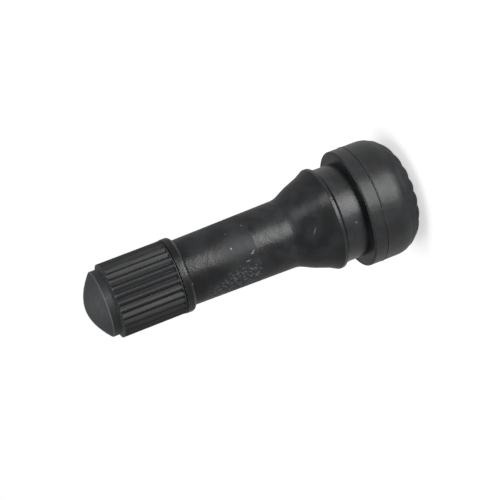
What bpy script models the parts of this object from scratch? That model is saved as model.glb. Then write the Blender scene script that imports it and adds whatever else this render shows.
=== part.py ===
"""Snap-in rubber tyre valve with its screwed-on plastic cap, standing on its rubber base.

+Z runs along the valve, from the base at z = 0 to the tip of the cap, and every piece is
turned about the Z axis. Sizes are in metres, and MM turns millimetres into metres.
The valve core inside the brass stem is the usual one: a screwed plug, a barrel hung below it,
and a sprung pin that carries the plunger. Fine screw threads are left as plain cylinders.
"""
from math import acos, atan2, ceil, cos, pi, radians, sin, tan, tau

import bmesh
import bpy
from mathutils import Vector

MM = 0.001

# Clearances
TOUCH_GAP = 0.05 * MM
THREAD_GAP = 0.08 * MM
SLIDE_GAP = 0.10 * MM
CONE_GAP = 0.10 * MM

# Rubber body, outside: bulb, groove for the wheel rim, bead, flare and stem
SEAT_WIDTH = 1.60 * MM
BULB_HEIGHT = 8.05 * MM
SHOULDER_ROUND = 4.15 * MM
SEAT_EDGE_ROUND = 0.25 * MM
PARTING_DROP = 1.95 * MM
PARTING_PROUD = 0.08 * MM
PARTING_WIDTH = 0.30 * MM
RIDGE_COUNT = 36
RIDGE_DEPTH = 0.22 * MM
RIDGE_START = radians(28.0)
NECK_RADIUS = 6.32 * MM
NECK_ROUND = 0.35 * MM
NECK_LENGTH = 2.10 * MM
BEAD_PROUD = 0.56 * MM
BEAD_RISE = 1.50 * MM
BEAD_ROUND = 0.60 * MM
WAIST_RISE = 1.15 * MM
WAIST_DROP = 0.60 * MM
FLARE_LENGTH = 4.20 * MM
FLARE_ROUND = 2.50 * MM
STEM_FOOT_RADIUS = 4.53 * MM
STEM_TOP_RADIUS = 4.33 * MM
STEM_TOP_ROUND = 0.20 * MM
RUBBER_LENGTH = 31.70 * MM
AIR_HOLE_RADIUS = 2.00 * MM
AIR_HOLE_FLARE = 0.35 * MM

# Brass stem
THREAD_RADIUS = 3.85 * MM
THREAD_LENGTH = 10.65 * MM
TIP_CHAMFER = 0.40 * MM
MOUTH_CHAMFER = 0.20 * MM
SHANK_RADIUS = 3.00 * MM
SHANK_FOOT_HEIGHT = 4.00 * MM
FOOT_FLANGE_RADIUS = 4.60 * MM
FOOT_FLANGE_THICKNESS = 0.90 * MM
GRIP_GROOVE_COUNT = 4
GRIP_GROOVE_DEPTH = 0.30 * MM
GRIP_GROOVE_WIDTH = 1.20 * MM
GRIP_GROOVE_PITCH = 2.40 * MM
STEM_BORE_RADIUS = 1.90 * MM

# Valve core: plug, barrel and the washer round it
CORE_HOLE_RADIUS = 2.60 * MM
PLUG_SINK = 0.70 * MM
PLUG_HEAD_LENGTH = 1.40 * MM
PLUG_HEAD_WIDTH = 2.60 * MM
PLUG_THREAD_LENGTH = 2.60 * MM
PLUG_CHAMFER = 0.30 * MM
SPIGOT_RADIUS = 1.30 * MM
SPIGOT_LENGTH = 0.55 * MM
COLLAR_WALL = 0.65 * MM
COLLAR_LENGTH = 0.95 * MM
BARREL_RADIUS = 1.42 * MM
BARREL_WALL = 0.32 * MM
BARREL_LENGTH = 9.20 * MM
LEDGE_THICKNESS = 0.70 * MM
WASHER_LENGTH = 1.50 * MM

# Pin, spring and plunger
PIN_RADIUS = 0.45 * MM
PIN_CHAMFER = 0.18 * MM
PIN_SINK = 0.20 * MM
PIN_COLLAR_RADIUS = 0.90 * MM
PIN_COLLAR_THICKNESS = 0.35 * MM
PIN_COLLAR_DROP = 0.50 * MM
RIVET_RADIUS = 0.75 * MM
RIVET_THICKNESS = 0.35 * MM
PIN_HOLE_GAP = 0.15 * MM
SPRING_WIRE = 0.30 * MM
SPRING_TURNS = 8
SPRING_END_TURNS = 1
PLUNGER_RADIUS = 1.50 * MM
PLUNGER_HEIGHT = 1.10 * MM
PLUNGER_TAPER = 0.37 * MM
PLUNGER_RIM = 0.13 * MM
PLUNGER_RECESS = 0.35 * MM
PLUNGER_WASHER_THICKNESS = 0.55 * MM

# Plastic cap and the seal in it
SEAL_THICKNESS = 0.70 * MM
SKIRT_GAP = 0.12 * MM
SKIRT_LEAD_IN = 0.25 * MM
CAP_WALL = 0.69 * MM
RIB_COUNT = 30
RIB_HEIGHT = 0.24 * MM
RIB_CREST_SHARE = 0.42
RIB_ROOT_SHARE = 0.56
RIB_END_LENGTH = 0.60 * MM
FLANGE_PROUD = 0.05 * MM
FLANGE_LENGTH = 1.65 * MM
FLANGE_ROUND = 0.60 * MM
CAP_NECK_LENGTH = 0.60 * MM
CAP_NECK_DROP = 0.33 * MM
DOME_HEIGHT = 1.95 * MM
CAP_TOP_THICKNESS = 1.85 * MM

# How finely round shapes are cut into flats
CHORD_ERROR = 0.03 * MM
LEAST_STEPS = 2
MOST_OF_SIDE = 0.98
SHARP_ANGLE = radians(32.0)
FINE_COUNT = 2 * RIDGE_COUNT
STEM_COUNT = 36
CORE_COUNT = 24
WIRE_POINTS_PER_TURN = 14

# Heights and radii that follow from the sizes above
BULB_RADIUS = NECK_RADIUS + SEAT_WIDTH
BASE_FLAT_RADIUS = BULB_RADIUS - SHOULDER_ROUND
BEAD_FOOT_Z = BULB_HEIGHT + NECK_LENGTH
BEAD_Z = BEAD_FOOT_Z + BEAD_RISE
WAIST_Z = BEAD_Z + WAIST_RISE
FLARE_TOP_Z = WAIST_Z + FLARE_LENGTH
STEM_TIP_Z = RUBBER_LENGTH + THREAD_LENGTH

PLUG_TOP_Z = STEM_TIP_Z - PLUG_SINK
PLUG_THREAD_Z = PLUG_TOP_Z - PLUG_HEAD_LENGTH
PLUG_FOOT_Z = PLUG_THREAD_Z - PLUG_THREAD_LENGTH
PLUG_RADIUS = CORE_HOLE_RADIUS - THREAD_GAP
PLUG_BORE_RADIUS = PIN_RADIUS + PIN_HOLE_GAP
SPIGOT_FOOT_Z = PLUG_FOOT_Z - SPIGOT_LENGTH
BARREL_TOP_Z = PLUG_FOOT_Z - TOUCH_GAP
BARREL_FOOT_Z = BARREL_TOP_Z - BARREL_LENGTH
LEDGE_Z = BARREL_FOOT_Z + LEDGE_THICKNESS
COLLAR_FOOT_Z = BARREL_TOP_Z - COLLAR_LENGTH
SOCKET_RADIUS = SPIGOT_RADIUS + TOUCH_GAP
SOCKET_FOOT_Z = SPIGOT_FOOT_Z - TOUCH_GAP
COLLAR_RADIUS = SOCKET_RADIUS + COLLAR_WALL
SEAT_TOP_Z = COLLAR_FOOT_Z - TOUCH_GAP
SEAT_FOOT_Z = SEAT_TOP_Z - WASHER_LENGTH

PIN_TIP_Z = STEM_TIP_Z - PIN_SINK
PIN_COLLAR_Z = SOCKET_FOOT_Z - PIN_COLLAR_DROP
PIN_COLLAR_FOOT_Z = PIN_COLLAR_Z - PIN_COLLAR_THICKNESS
SPRING_RADIUS = PIN_RADIUS + SPRING_WIRE
WASHER_TOP_Z = BARREL_FOOT_Z - TOUCH_GAP
CUP_FLOOR_Z = WASHER_TOP_Z - PLUNGER_WASHER_THICKNESS - TOUCH_GAP
CUP_TOP_Z = CUP_FLOOR_Z + PLUNGER_RECESS
CUP_FOOT_Z = CUP_TOP_Z - PLUNGER_HEIGHT
RIVET_TOP_Z = CUP_FOOT_Z - TOUCH_GAP

SKIRT_Z = RUBBER_LENGTH + SKIRT_GAP
SEAL_FOOT_Z = STEM_TIP_Z + TOUCH_GAP
CEILING_Z = SEAL_FOOT_Z + SEAL_THICKNESS + TOUCH_GAP
CAP_TIP_Z = CEILING_Z + CAP_TOP_THICKNESS
CAP_BORE_RADIUS = THREAD_RADIUS + SLIDE_GAP
SEAL_RADIUS = THREAD_RADIUS - TIP_CHAMFER
RIB_ROOT_RADIUS = CAP_BORE_RADIUS + CAP_WALL
RIB_CREST_RADIUS = RIB_ROOT_RADIUS + RIB_HEIGHT
FLANGE_RADIUS = RIB_CREST_RADIUS + FLANGE_PROUD
FLANGE_TOP_Z = SKIRT_Z + FLANGE_LENGTH
CAP_NECK_RADIUS = RIB_ROOT_RADIUS - CAP_NECK_DROP
DOME_EDGE_Z = CAP_TIP_Z - DOME_HEIGHT
NECK_FOOT_Z = DOME_EDGE_Z - CAP_NECK_LENGTH


def even_angles(count):
    """Angles of the points of an evenly divided ring."""
    return [tau * index / count for index in range(count)]


def arc_steps(radius, turn):
    """How many flats an arc needs to stay within the chord error."""
    flat_turn = 2.0 * acos(max(1.0 - CHORD_ERROR / radius, 0.0))
    return max(LEAST_STEPS, ceil(abs(turn) / flat_turn))


def side_share(side, rounding, far_rounding):
    """How far an arc may reach along a side, leaving the arc at the side's far end its own part."""
    return MOST_OF_SIDE * side.length * rounding / (rounding + far_rounding)


def rounded(corners):
    """Return a profile of radii and heights through the corners, with arcs at the rounded ones.

    Each corner is a radius, a height and a rounding. The profile is taken as a closed loop.
    """
    profile = []
    for index, (radius, height, rounding) in enumerate(corners):
        if rounding == 0.0:
            profile.append((radius, height))
            continue
        last_radius, last_height, last_rounding = corners[index - 1]
        next_radius, next_height, next_rounding = corners[(index + 1) % len(corners)]
        corner = Vector((radius, height))
        before = Vector((last_radius, last_height)) - corner
        after = Vector((next_radius, next_height)) - corner
        half = before.angle(after) / 2.0
        room_before = side_share(before, rounding, last_rounding)
        room_after = side_share(after, rounding, next_rounding)
        reach = min(rounding / tan(half), room_before, room_after)
        rounding = reach * tan(half)
        start = corner + before.normalized() * reach
        end = corner + after.normalized() * reach
        middle = before.normalized() + after.normalized()
        centre = corner + middle.normalized() * rounding / sin(half)
        turn = (start - centre).angle_signed(end - centre)
        steps = arc_steps(rounding, turn)
        start_angle = atan2(start.y - centre.y, start.x - centre.x)
        for step in range(steps + 1):
            angle = start_angle - turn * step / steps
            profile.append((centre.x + rounding * cos(angle), centre.y + rounding * sin(angle)))
    return profile


def plain_stations(profile, angles):
    """Give every point of a profile the same ring of angles."""
    return [(angles, [point]) for point in profile]


def make_ring(bm, angles, pattern):
    """Place one ring of points, keyed by angle. The pattern of radii and heights repeats round it."""
    if pattern[0][0] == 0.0:
        return {0.0: bm.verts.new((0.0, 0.0, pattern[0][1]))}
    points = {}
    for index, angle in enumerate(angles):
        radius, height = pattern[index % len(pattern)]
        points[angle] = bm.verts.new((radius * cos(angle), radius * sin(angle), height))
    return points


def points_between(ring, start, end):
    """The points of a ring from one angle round to another, both included."""
    if len(ring) == 1:
        return list(ring.values())
    keys = list(ring)
    first = keys.index(start)
    last = keys.index(end)
    if last <= first:
        last += len(keys)
    return [ring[keys[index % len(keys)]] for index in range(first, last + 1)]


def join_rings(bm, first, second):
    """Close the band between two rings with a face between each two angles that both rings have."""
    if 1 in (len(first), len(second)):
        shared = list(max(first, second, key=len))
    else:
        shared = [angle for angle in first if angle in second]
    for start, end in zip(shared, shared[1:] + shared[:1]):
        near = points_between(second, start, end)
        far = points_between(first, start, end)
        bm.faces.new(near + far[::-1])


def make_solid(name, mesh, material, parent=None):
    """Put a finished mesh in the scene with its material, smooth but for its real edges."""
    mesh.materials.append(material)
    mesh.shade_smooth()
    mesh.set_sharp_from_angle(angle=SHARP_ANGLE)
    solid = bpy.data.objects.new(name, mesh)
    bpy.context.scene.collection.objects.link(solid)
    if parent is not None:
        solid.parent = parent
        solid.matrix_parent_inverse = parent.matrix_world.inverted()
    return solid


def make_turned(name, stations, material, parent=None):
    """Make a turned solid from its stations, each the angles and the pattern of one ring.

    The stations run down the outside and then up the inside. The solid closes on the axis
    where the ends have no radius, and otherwise the last ring joins the first.
    """
    bm = bmesh.new()
    rings = [make_ring(bm, angles, pattern) for angles, pattern in stations]
    for first, second in zip(rings, rings[1:]):
        join_rings(bm, first, second)
    if len(rings[0]) > 1:
        join_rings(bm, rings[-1], rings[0])
    mesh = bpy.data.meshes.new(name)
    bm.to_mesh(mesh)
    bm.free()
    return make_solid(name, mesh, material, parent)


def make_axis(name, height):
    """Empty on the valve's axis, which carries pieces that move together."""
    axis = bpy.data.objects.new(name, None)
    axis.empty_display_size = 5.0 * MM
    axis.location = (0.0, 0.0, height)
    bpy.context.scene.collection.objects.link(axis)
    bpy.context.view_layer.update()
    return axis


def make_material(name, colour, roughness, metallic=0.0):
    """Plain surface with one colour, for a solid as it leaves the mould or the lathe."""
    material = bpy.data.materials.new(name)
    material.use_nodes = True
    surface = material.node_tree.nodes["Principled BSDF"]
    surface.inputs["Base Color"].default_value = (*colour, 1.0)
    surface.inputs["Roughness"].default_value = roughness
    surface.inputs["Metallic"].default_value = metallic
    material.diffuse_color = (*colour, 1.0)
    return material


def grip_grooves(radius):
    """Corners of the grooves round the brass shank that key it into the rubber, from the top down."""
    corners = []
    first = RUBBER_LENGTH - GRIP_GROOVE_PITCH
    for index in range(GRIP_GROOVE_COUNT):
        top = first - index * GRIP_GROOVE_PITCH
        corners.append((radius, top, 0.0))
        corners.append((radius - GRIP_GROOVE_DEPTH, top - GRIP_GROOVE_WIDTH / 2.0, 0.0))
        corners.append((radius, top - GRIP_GROOVE_WIDTH, 0.0))
    return corners


def shoulder_ridge(radius, height):
    """The radius and height of the valley beside a ridge on the round lower shoulder of the bulb."""
    turn = atan2(SHOULDER_ROUND - height, radius - BASE_FLAT_RADIUS)
    along = (turn - RIDGE_START) / (0.5 * pi - RIDGE_START)
    depth = RIDGE_DEPTH * sin(pi * min(max(along, 0.0), 1.0))
    return radius - depth * cos(turn), height + depth * sin(turn)


def make_rubber_body(material):
    """Moulded rubber body: ridged bulb, seat face and groove for the rim, bead, flare and stem."""
    fine = even_angles(FINE_COUNT)
    coarse = fine[::2]
    bulb_side = [
        (BULB_RADIUS, BULB_HEIGHT, SEAT_EDGE_ROUND),
        (BULB_RADIUS, BULB_HEIGHT - PARTING_DROP + PARTING_WIDTH / 2.0, 0.0),
        (BULB_RADIUS + PARTING_PROUD, BULB_HEIGHT - PARTING_DROP, 0.0),
        (BULB_RADIUS, BULB_HEIGHT - PARTING_DROP - PARTING_WIDTH / 2.0, 0.0),
        (BULB_RADIUS, 0.0, SHOULDER_ROUND),
    ]
    outside = [
        (STEM_TOP_RADIUS, RUBBER_LENGTH, STEM_TOP_ROUND),
        (STEM_FOOT_RADIUS, FLARE_TOP_Z, FLARE_ROUND),
        (NECK_RADIUS + BEAD_PROUD - WAIST_DROP, WAIST_Z, BEAD_ROUND),
        (NECK_RADIUS + BEAD_PROUD, BEAD_Z, BEAD_ROUND),
        (NECK_RADIUS, BEAD_FOOT_Z, BEAD_ROUND),
        (NECK_RADIUS, BULB_HEIGHT, NECK_ROUND),
        *bulb_side,
    ]
    pocket_radius = FOOT_FLANGE_RADIUS + TOUCH_GAP
    shank_radius = SHANK_RADIUS + TOUCH_GAP
    inside = [
        (AIR_HOLE_RADIUS + AIR_HOLE_FLARE, 0.0, 0.0),
        (AIR_HOLE_RADIUS, AIR_HOLE_FLARE, 0.0),
        (AIR_HOLE_RADIUS, SHANK_FOOT_HEIGHT - TOUCH_GAP, 0.0),
        (pocket_radius, SHANK_FOOT_HEIGHT - TOUCH_GAP, 0.0),
        (pocket_radius, SHANK_FOOT_HEIGHT + FOOT_FLANGE_THICKNESS + TOUCH_GAP, 0.0),
        (shank_radius, SHANK_FOOT_HEIGHT + FOOT_FLANGE_THICKNESS + TOUCH_GAP, 0.0),
        *reversed(grip_grooves(shank_radius)),
        (shank_radius, RUBBER_LENGTH, 0.0),
    ]
    profile = rounded(outside + inside)
    seat_edge_radius = BULB_RADIUS - SEAT_EDGE_ROUND
    stations = []
    for radius, height in profile[:-len(inside)]:
        on_shoulder = height < SHOULDER_ROUND and radius > BASE_FLAT_RADIUS + TOUCH_GAP
        on_bulb = height <= BULB_HEIGHT and radius > seat_edge_radius - TOUCH_GAP
        if on_shoulder:
            stations.append((fine, [(radius, height), shoulder_ridge(radius, height)]))
        elif on_bulb:
            stations.append((fine, [(radius, height)]))
        else:
            stations.append((coarse, [(radius, height)]))
    stations += plain_stations(profile[-len(inside):], coarse)
    return make_turned("rubber_body", stations, material)


def make_brass_stem(material):
    """Turned brass stem: threaded end, grooved shank in the rubber, foot flange and stepped bore."""
    corners = [
        (THREAD_RADIUS - TIP_CHAMFER, STEM_TIP_Z, 0.0),
        (THREAD_RADIUS, STEM_TIP_Z - TIP_CHAMFER, 0.0),
        (THREAD_RADIUS, RUBBER_LENGTH + TOUCH_GAP, 0.0),
        (SHANK_RADIUS, RUBBER_LENGTH + TOUCH_GAP, 0.0),
        *grip_grooves(SHANK_RADIUS),
        (SHANK_RADIUS, SHANK_FOOT_HEIGHT + FOOT_FLANGE_THICKNESS, 0.0),
        (FOOT_FLANGE_RADIUS, SHANK_FOOT_HEIGHT + FOOT_FLANGE_THICKNESS, 0.0),
        (FOOT_FLANGE_RADIUS, SHANK_FOOT_HEIGHT, 0.0),
        (STEM_BORE_RADIUS, SHANK_FOOT_HEIGHT, 0.0),
        (STEM_BORE_RADIUS, SEAT_FOOT_Z, 0.0),
        (CORE_HOLE_RADIUS, SEAT_TOP_Z, 0.0),
        (CORE_HOLE_RADIUS, STEM_TIP_Z - MOUTH_CHAMFER, 0.0),
        (CORE_HOLE_RADIUS + MOUTH_CHAMFER, STEM_TIP_Z, 0.0),
    ]
    stations = plain_stations(rounded(corners), even_angles(STEM_COUNT))
    return make_turned("brass_stem", stations, material)


def make_flat_cutter(name, side):
    """Box that takes one side off the plug's head, to leave a flat for the core tool."""
    bm = bmesh.new()
    bmesh.ops.create_cube(bm, size=1.0)
    size = Vector((4.0 * PLUG_RADIUS, 2.0 * PLUG_RADIUS, 2.0 * PLUG_HEAD_LENGTH))
    bmesh.ops.scale(bm, vec=size, verts=bm.verts)
    offset = side * (PLUG_HEAD_WIDTH / 2.0 + PLUG_RADIUS)
    bmesh.ops.translate(bm, vec=(0.0, offset, PLUG_THREAD_Z + PLUG_HEAD_LENGTH), verts=bm.verts)
    mesh = bpy.data.meshes.new(name)
    bm.to_mesh(mesh)
    bm.free()
    cutter = bpy.data.objects.new(name, mesh)
    cutter.hide_render = True
    cutter.display_type = 'WIRE'
    bpy.context.scene.collection.objects.link(cutter)
    return cutter


def make_core_plug(material):
    """Screwed plug of the valve core: a flatted head for the tool, a thread and a spigot below."""
    head_radius = PLUG_RADIUS - PLUG_CHAMFER
    corners = [
        (head_radius, PLUG_TOP_Z, 0.0),
        (head_radius, PLUG_THREAD_Z, 0.0),
        (PLUG_RADIUS, PLUG_THREAD_Z - PLUG_CHAMFER, 0.0),
        (PLUG_RADIUS, PLUG_FOOT_Z, 0.0),
        (SPIGOT_RADIUS, PLUG_FOOT_Z, 0.0),
        (SPIGOT_RADIUS, SPIGOT_FOOT_Z, 0.0),
        (PLUG_BORE_RADIUS, SPIGOT_FOOT_Z, 0.0),
        (PLUG_BORE_RADIUS, PLUG_TOP_Z, 0.0),
    ]
    stations = plain_stations(rounded(corners), even_angles(CORE_COUNT))
    plug = make_turned("core_plug", stations, material)
    for name, side in (("plug_flat_front", -1.0), ("plug_flat_back", 1.0)):
        cut = plug.modifiers.new(name, 'BOOLEAN')
        cut.operation = 'DIFFERENCE'
        cut.solver = 'EXACT'
        cut.object = make_flat_cutter(name, side)
    return plug


def make_core_barrel(material):
    """Barrel hung below the plug: socket for the spigot, collar, tube and the ledge under the spring."""
    bore_radius = BARREL_RADIUS - BARREL_WALL
    corners = [
        (COLLAR_RADIUS, BARREL_TOP_Z, 0.0),
        (COLLAR_RADIUS, COLLAR_FOOT_Z, 0.0),
        (BARREL_RADIUS, COLLAR_FOOT_Z, 0.0),
        (BARREL_RADIUS, BARREL_FOOT_Z, 0.0),
        (PLUG_BORE_RADIUS, BARREL_FOOT_Z, 0.0),
        (PLUG_BORE_RADIUS, LEDGE_Z, 0.0),
        (bore_radius, LEDGE_Z, 0.0),
        (bore_radius, SOCKET_FOOT_Z, 0.0),
        (SOCKET_RADIUS, SOCKET_FOOT_Z, 0.0),
        (SOCKET_RADIUS, BARREL_TOP_Z, 0.0),
    ]
    stations = plain_stations(rounded(corners), even_angles(CORE_COUNT))
    return make_turned("core_barrel", stations, material)


def make_barrel_washer(material):
    """Tapered washer that seals the barrel in the cone of the stem's bore."""
    bore_radius = BARREL_RADIUS + TOUCH_GAP
    corners = [
        (CORE_HOLE_RADIUS - CONE_GAP, SEAT_TOP_Z, 0.0),
        (STEM_BORE_RADIUS - CONE_GAP, SEAT_FOOT_Z, 0.0),
        (bore_radius, SEAT_FOOT_Z, 0.0),
        (bore_radius, SEAT_TOP_Z, 0.0),
    ]
    stations = plain_stations(rounded(corners), even_angles(CORE_COUNT))
    return make_turned("barrel_washer", stations, material)


def make_core_pin(material, parent):
    """Pin through the whole core, with the collar above the spring and the rivet under the cup."""
    corners = [
        (0.0, PIN_TIP_Z, 0.0),
        (PIN_RADIUS - PIN_CHAMFER, PIN_TIP_Z, 0.0),
        (PIN_RADIUS, PIN_TIP_Z - PIN_CHAMFER, 0.0),
        (PIN_RADIUS, PIN_COLLAR_Z, 0.0),
        (PIN_COLLAR_RADIUS, PIN_COLLAR_Z, 0.0),
        (PIN_COLLAR_RADIUS, PIN_COLLAR_FOOT_Z, 0.0),
        (PIN_RADIUS, PIN_COLLAR_FOOT_Z, 0.0),
        (PIN_RADIUS, RIVET_TOP_Z, 0.0),
        (RIVET_RADIUS, RIVET_TOP_Z, 0.0),
        (RIVET_RADIUS, RIVET_TOP_Z - RIVET_THICKNESS, 0.0),
        (0.0, RIVET_TOP_Z - RIVET_THICKNESS, 0.0),
    ]
    stations = plain_stations(rounded(corners), even_angles(CORE_COUNT))
    return make_turned("core_pin", stations, material, parent)


def make_core_spring(material):
    """Coil spring round the pin, from the barrel's ledge up to the pin's collar, with closed end turns."""
    foot = LEDGE_Z + TOUCH_GAP + SPRING_WIRE / 2.0
    top = PIN_COLLAR_FOOT_Z - TOUCH_GAP - SPRING_WIRE / 2.0
    end_pitch = SPRING_WIRE + TOUCH_GAP
    end_rise = SPRING_END_TURNS * end_pitch
    open_turns = SPRING_TURNS - 2 * SPRING_END_TURNS
    open_pitch = (top - foot - 2.0 * end_rise) / open_turns
    curve = bpy.data.curves.new("core_spring", 'CURVE')
    curve.dimensions = '3D'
    curve.bevel_depth = SPRING_WIRE / 2.0
    curve.bevel_resolution = 1
    curve.use_fill_caps = True
    wire = curve.splines.new('POLY')
    point_count = SPRING_TURNS * WIRE_POINTS_PER_TURN + 1
    wire.points.add(point_count - 1)
    for index in range(point_count):
        turns = index / WIRE_POINTS_PER_TURN
        low_turns = min(turns, SPRING_END_TURNS)
        high_turns = max(turns - SPRING_TURNS + SPRING_END_TURNS, 0.0)
        height = foot + end_pitch * (low_turns + high_turns)
        height += open_pitch * (turns - low_turns - high_turns)
        angle = tau * turns
        place = (SPRING_RADIUS * cos(angle), SPRING_RADIUS * sin(angle), height, 1.0)
        wire.points[index].co = place
    curve.materials.append(material)
    spring = bpy.data.objects.new("core_spring", curve)
    bpy.context.scene.collection.objects.link(spring)
    return spring


def make_plunger_cup(material, parent):
    """Brass cup on the end of the pin, open upwards to hold the plunger's washer."""
    bore_radius = PIN_RADIUS + TOUCH_GAP
    corners = [
        (PLUNGER_RADIUS, CUP_TOP_Z, 0.0),
        (PLUNGER_RADIUS, CUP_FOOT_Z + PLUNGER_TAPER, 0.0),
        (RIVET_RADIUS + PLUNGER_RIM, CUP_FOOT_Z, 0.0),
        (bore_radius, CUP_FOOT_Z, 0.0),
        (bore_radius, CUP_FLOOR_Z, 0.0),
        (PLUNGER_RADIUS - PLUNGER_RIM, CUP_FLOOR_Z, 0.0),
        (PLUNGER_RADIUS - PLUNGER_RIM, CUP_TOP_Z, 0.0),
    ]
    stations = plain_stations(rounded(corners), even_angles(CORE_COUNT))
    return make_turned("plunger_cup", stations, material, parent)


def make_plunger_washer(material, parent):
    """Rubber washer in the cup, pressed up against the barrel's end to hold the air in."""
    outer_radius = PLUNGER_RADIUS - PLUNGER_RIM - TOUCH_GAP
    bore_radius = PIN_RADIUS + TOUCH_GAP
    corners = [
        (outer_radius, WASHER_TOP_Z, 0.0),
        (outer_radius, CUP_FLOOR_Z + TOUCH_GAP, 0.0),
        (bore_radius, CUP_FLOOR_Z + TOUCH_GAP, 0.0),
        (bore_radius, WASHER_TOP_Z, 0.0),
    ]
    stations = plain_stations(rounded(corners), even_angles(CORE_COUNT))
    return make_turned("plunger_washer", stations, material, parent)


def make_cap_seal(material, parent):
    """Soft disc in the top of the cap, which closes the mouth of the stem."""
    corners = [
        (0.0, CEILING_Z - TOUCH_GAP, 0.0),
        (SEAL_RADIUS, CEILING_Z - TOUCH_GAP, 0.0),
        (SEAL_RADIUS, SEAL_FOOT_Z, 0.0),
        (0.0, SEAL_FOOT_Z, 0.0),
    ]
    stations = plain_stations(rounded(corners), even_angles(CORE_COUNT))
    return make_turned("cap_seal", stations, material, parent)


def rib_angles():
    """Angles of the four long edges of each rib: two at its crest, then two at the root beside it."""
    pitch = tau / RIB_COUNT
    crest = RIB_CREST_SHARE * pitch / 2.0
    root = RIB_ROOT_SHARE * pitch / 2.0
    angles = []
    for index in range(RIB_COUNT):
        middle = index * pitch
        angles += [middle - crest, middle + crest, middle + root, middle + pitch - root]
    return angles


def make_valve_cap(material, parent):
    """Moulded plastic cap: dome, plain neck, straight grip ribs, flange, and the bore for the stem."""
    ribbed = rib_angles()
    plain = [angle for index, angle in enumerate(ribbed) if index % 4 < 2]
    dome_radius = (CAP_NECK_RADIUS ** 2 + DOME_HEIGHT ** 2) / (2.0 * DOME_HEIGHT)
    dome_turn = acos(1.0 - DOME_HEIGHT / dome_radius)
    dome_steps = arc_steps(dome_radius, dome_turn)
    dome = []
    for step in range(dome_steps + 1):
        turn = dome_turn * step / dome_steps
        dome.append((dome_radius * sin(turn), CAP_TIP_Z - dome_radius * (1.0 - cos(turn))))
    across_rib = (RIB_CREST_RADIUS, RIB_CREST_RADIUS, RIB_ROOT_RADIUS, RIB_ROOT_RADIUS)
    end_slope = RIB_END_LENGTH / (RIB_CREST_RADIUS - CAP_NECK_RADIUS)
    rib_top = [(radius, NECK_FOOT_Z - end_slope * (radius - CAP_NECK_RADIUS)) for radius in across_rib]
    rib_foot = [(radius, FLANGE_TOP_Z) for radius in across_rib]
    flange = rounded([
        (RIB_CREST_RADIUS, FLANGE_TOP_Z, 0.0),
        (FLANGE_RADIUS, FLANGE_TOP_Z - FLANGE_PROUD, 0.0),
        (FLANGE_RADIUS, SKIRT_Z, FLANGE_ROUND),
        (CAP_BORE_RADIUS + SKIRT_LEAD_IN, SKIRT_Z, 0.0),
    ])
    pocket_radius = SEAL_RADIUS + SLIDE_GAP
    inside = [
        (CAP_BORE_RADIUS, SKIRT_Z + SKIRT_LEAD_IN),
        (CAP_BORE_RADIUS, STEM_TIP_Z - TIP_CHAMFER),
        (pocket_radius, STEM_TIP_Z),
        (pocket_radius, CEILING_Z),
        (0.0, CEILING_Z),
    ]
    stations = plain_stations(dome, plain)
    stations += plain_stations([(CAP_NECK_RADIUS, NECK_FOOT_Z)], plain)
    stations += [(ribbed, rib_top), (ribbed, rib_foot)]
    stations += plain_stations(flange + inside, plain)
    return make_turned("valve_cap", stations, material, parent)


def build():
    """Clear the scene and build the whole valve."""
    for old in list(bpy.data.objects):
        bpy.data.objects.remove(old, do_unlink=True)
    rubber = make_material("black_rubber", (0.022, 0.023, 0.026), 0.45)
    plastic = make_material("black_polypropylene", (0.060, 0.061, 0.064), 0.50)
    brass = make_material("turned_brass", (0.62, 0.42, 0.17), 0.30, 1.0)
    seal_rubber = make_material("seal_rubber", (0.035, 0.035, 0.035), 0.70)
    washer_rubber = make_material("washer_rubber", (0.30, 0.045, 0.035), 0.60)
    steel = make_material("spring_steel", (0.55, 0.56, 0.58), 0.30, 1.0)
    cap_axis = make_axis("cap_axis", SKIRT_Z)
    pin_axis = make_axis("pin_axis", WASHER_TOP_Z)
    make_rubber_body(rubber)
    make_brass_stem(brass)
    make_core_plug(brass)
    make_core_barrel(brass)
    make_barrel_washer(washer_rubber)
    make_core_spring(steel)
    make_core_pin(steel, pin_axis)
    make_plunger_cup(brass, pin_axis)
    make_plunger_washer(washer_rubber, pin_axis)
    make_cap_seal(seal_rubber, cap_axis)
    make_valve_cap(plastic, cap_axis)


build()
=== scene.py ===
"""Snap-in rubber tyre valve with its ribbed plastic cap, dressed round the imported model.

Sizes are in millimetres, and MM turns them into the frame's metres. Every piece is round about
the Z axis, from the rubber base at z = 0 up to the tip of the cap.
"""

from math import acos, atan2, ceil, cos, hypot, pi, radians, sin, tan, tau

import bmesh
import bpy
from mathutils import Matrix, Vector


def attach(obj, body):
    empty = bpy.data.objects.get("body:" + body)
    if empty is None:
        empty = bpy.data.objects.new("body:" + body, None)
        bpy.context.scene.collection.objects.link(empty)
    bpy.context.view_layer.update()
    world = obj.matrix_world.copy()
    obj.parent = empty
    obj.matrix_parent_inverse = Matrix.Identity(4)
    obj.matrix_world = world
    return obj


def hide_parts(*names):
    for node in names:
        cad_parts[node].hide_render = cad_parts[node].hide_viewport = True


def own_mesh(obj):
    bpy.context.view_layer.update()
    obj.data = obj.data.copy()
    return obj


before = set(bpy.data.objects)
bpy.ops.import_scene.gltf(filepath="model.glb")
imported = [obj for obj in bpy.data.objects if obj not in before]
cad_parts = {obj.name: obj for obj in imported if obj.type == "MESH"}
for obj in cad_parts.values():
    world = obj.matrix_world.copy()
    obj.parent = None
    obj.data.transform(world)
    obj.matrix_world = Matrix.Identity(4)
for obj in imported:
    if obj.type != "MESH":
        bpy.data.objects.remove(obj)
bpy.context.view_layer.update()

MM = 0.001

# Camera. The valve is seen from the side and a little from the cap's end, with the cap low on
# the left of the picture. The lens angle and the roll follow the photograph's perspective.
LENS = 123.5
SENSOR = 36.0
VIEW_DISTANCE = 222.0
VIEW_TILT = 14.66
VIEW_ROLL = -111.15
AIM = Vector((-0.370, 0.555, 22.13))

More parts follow.
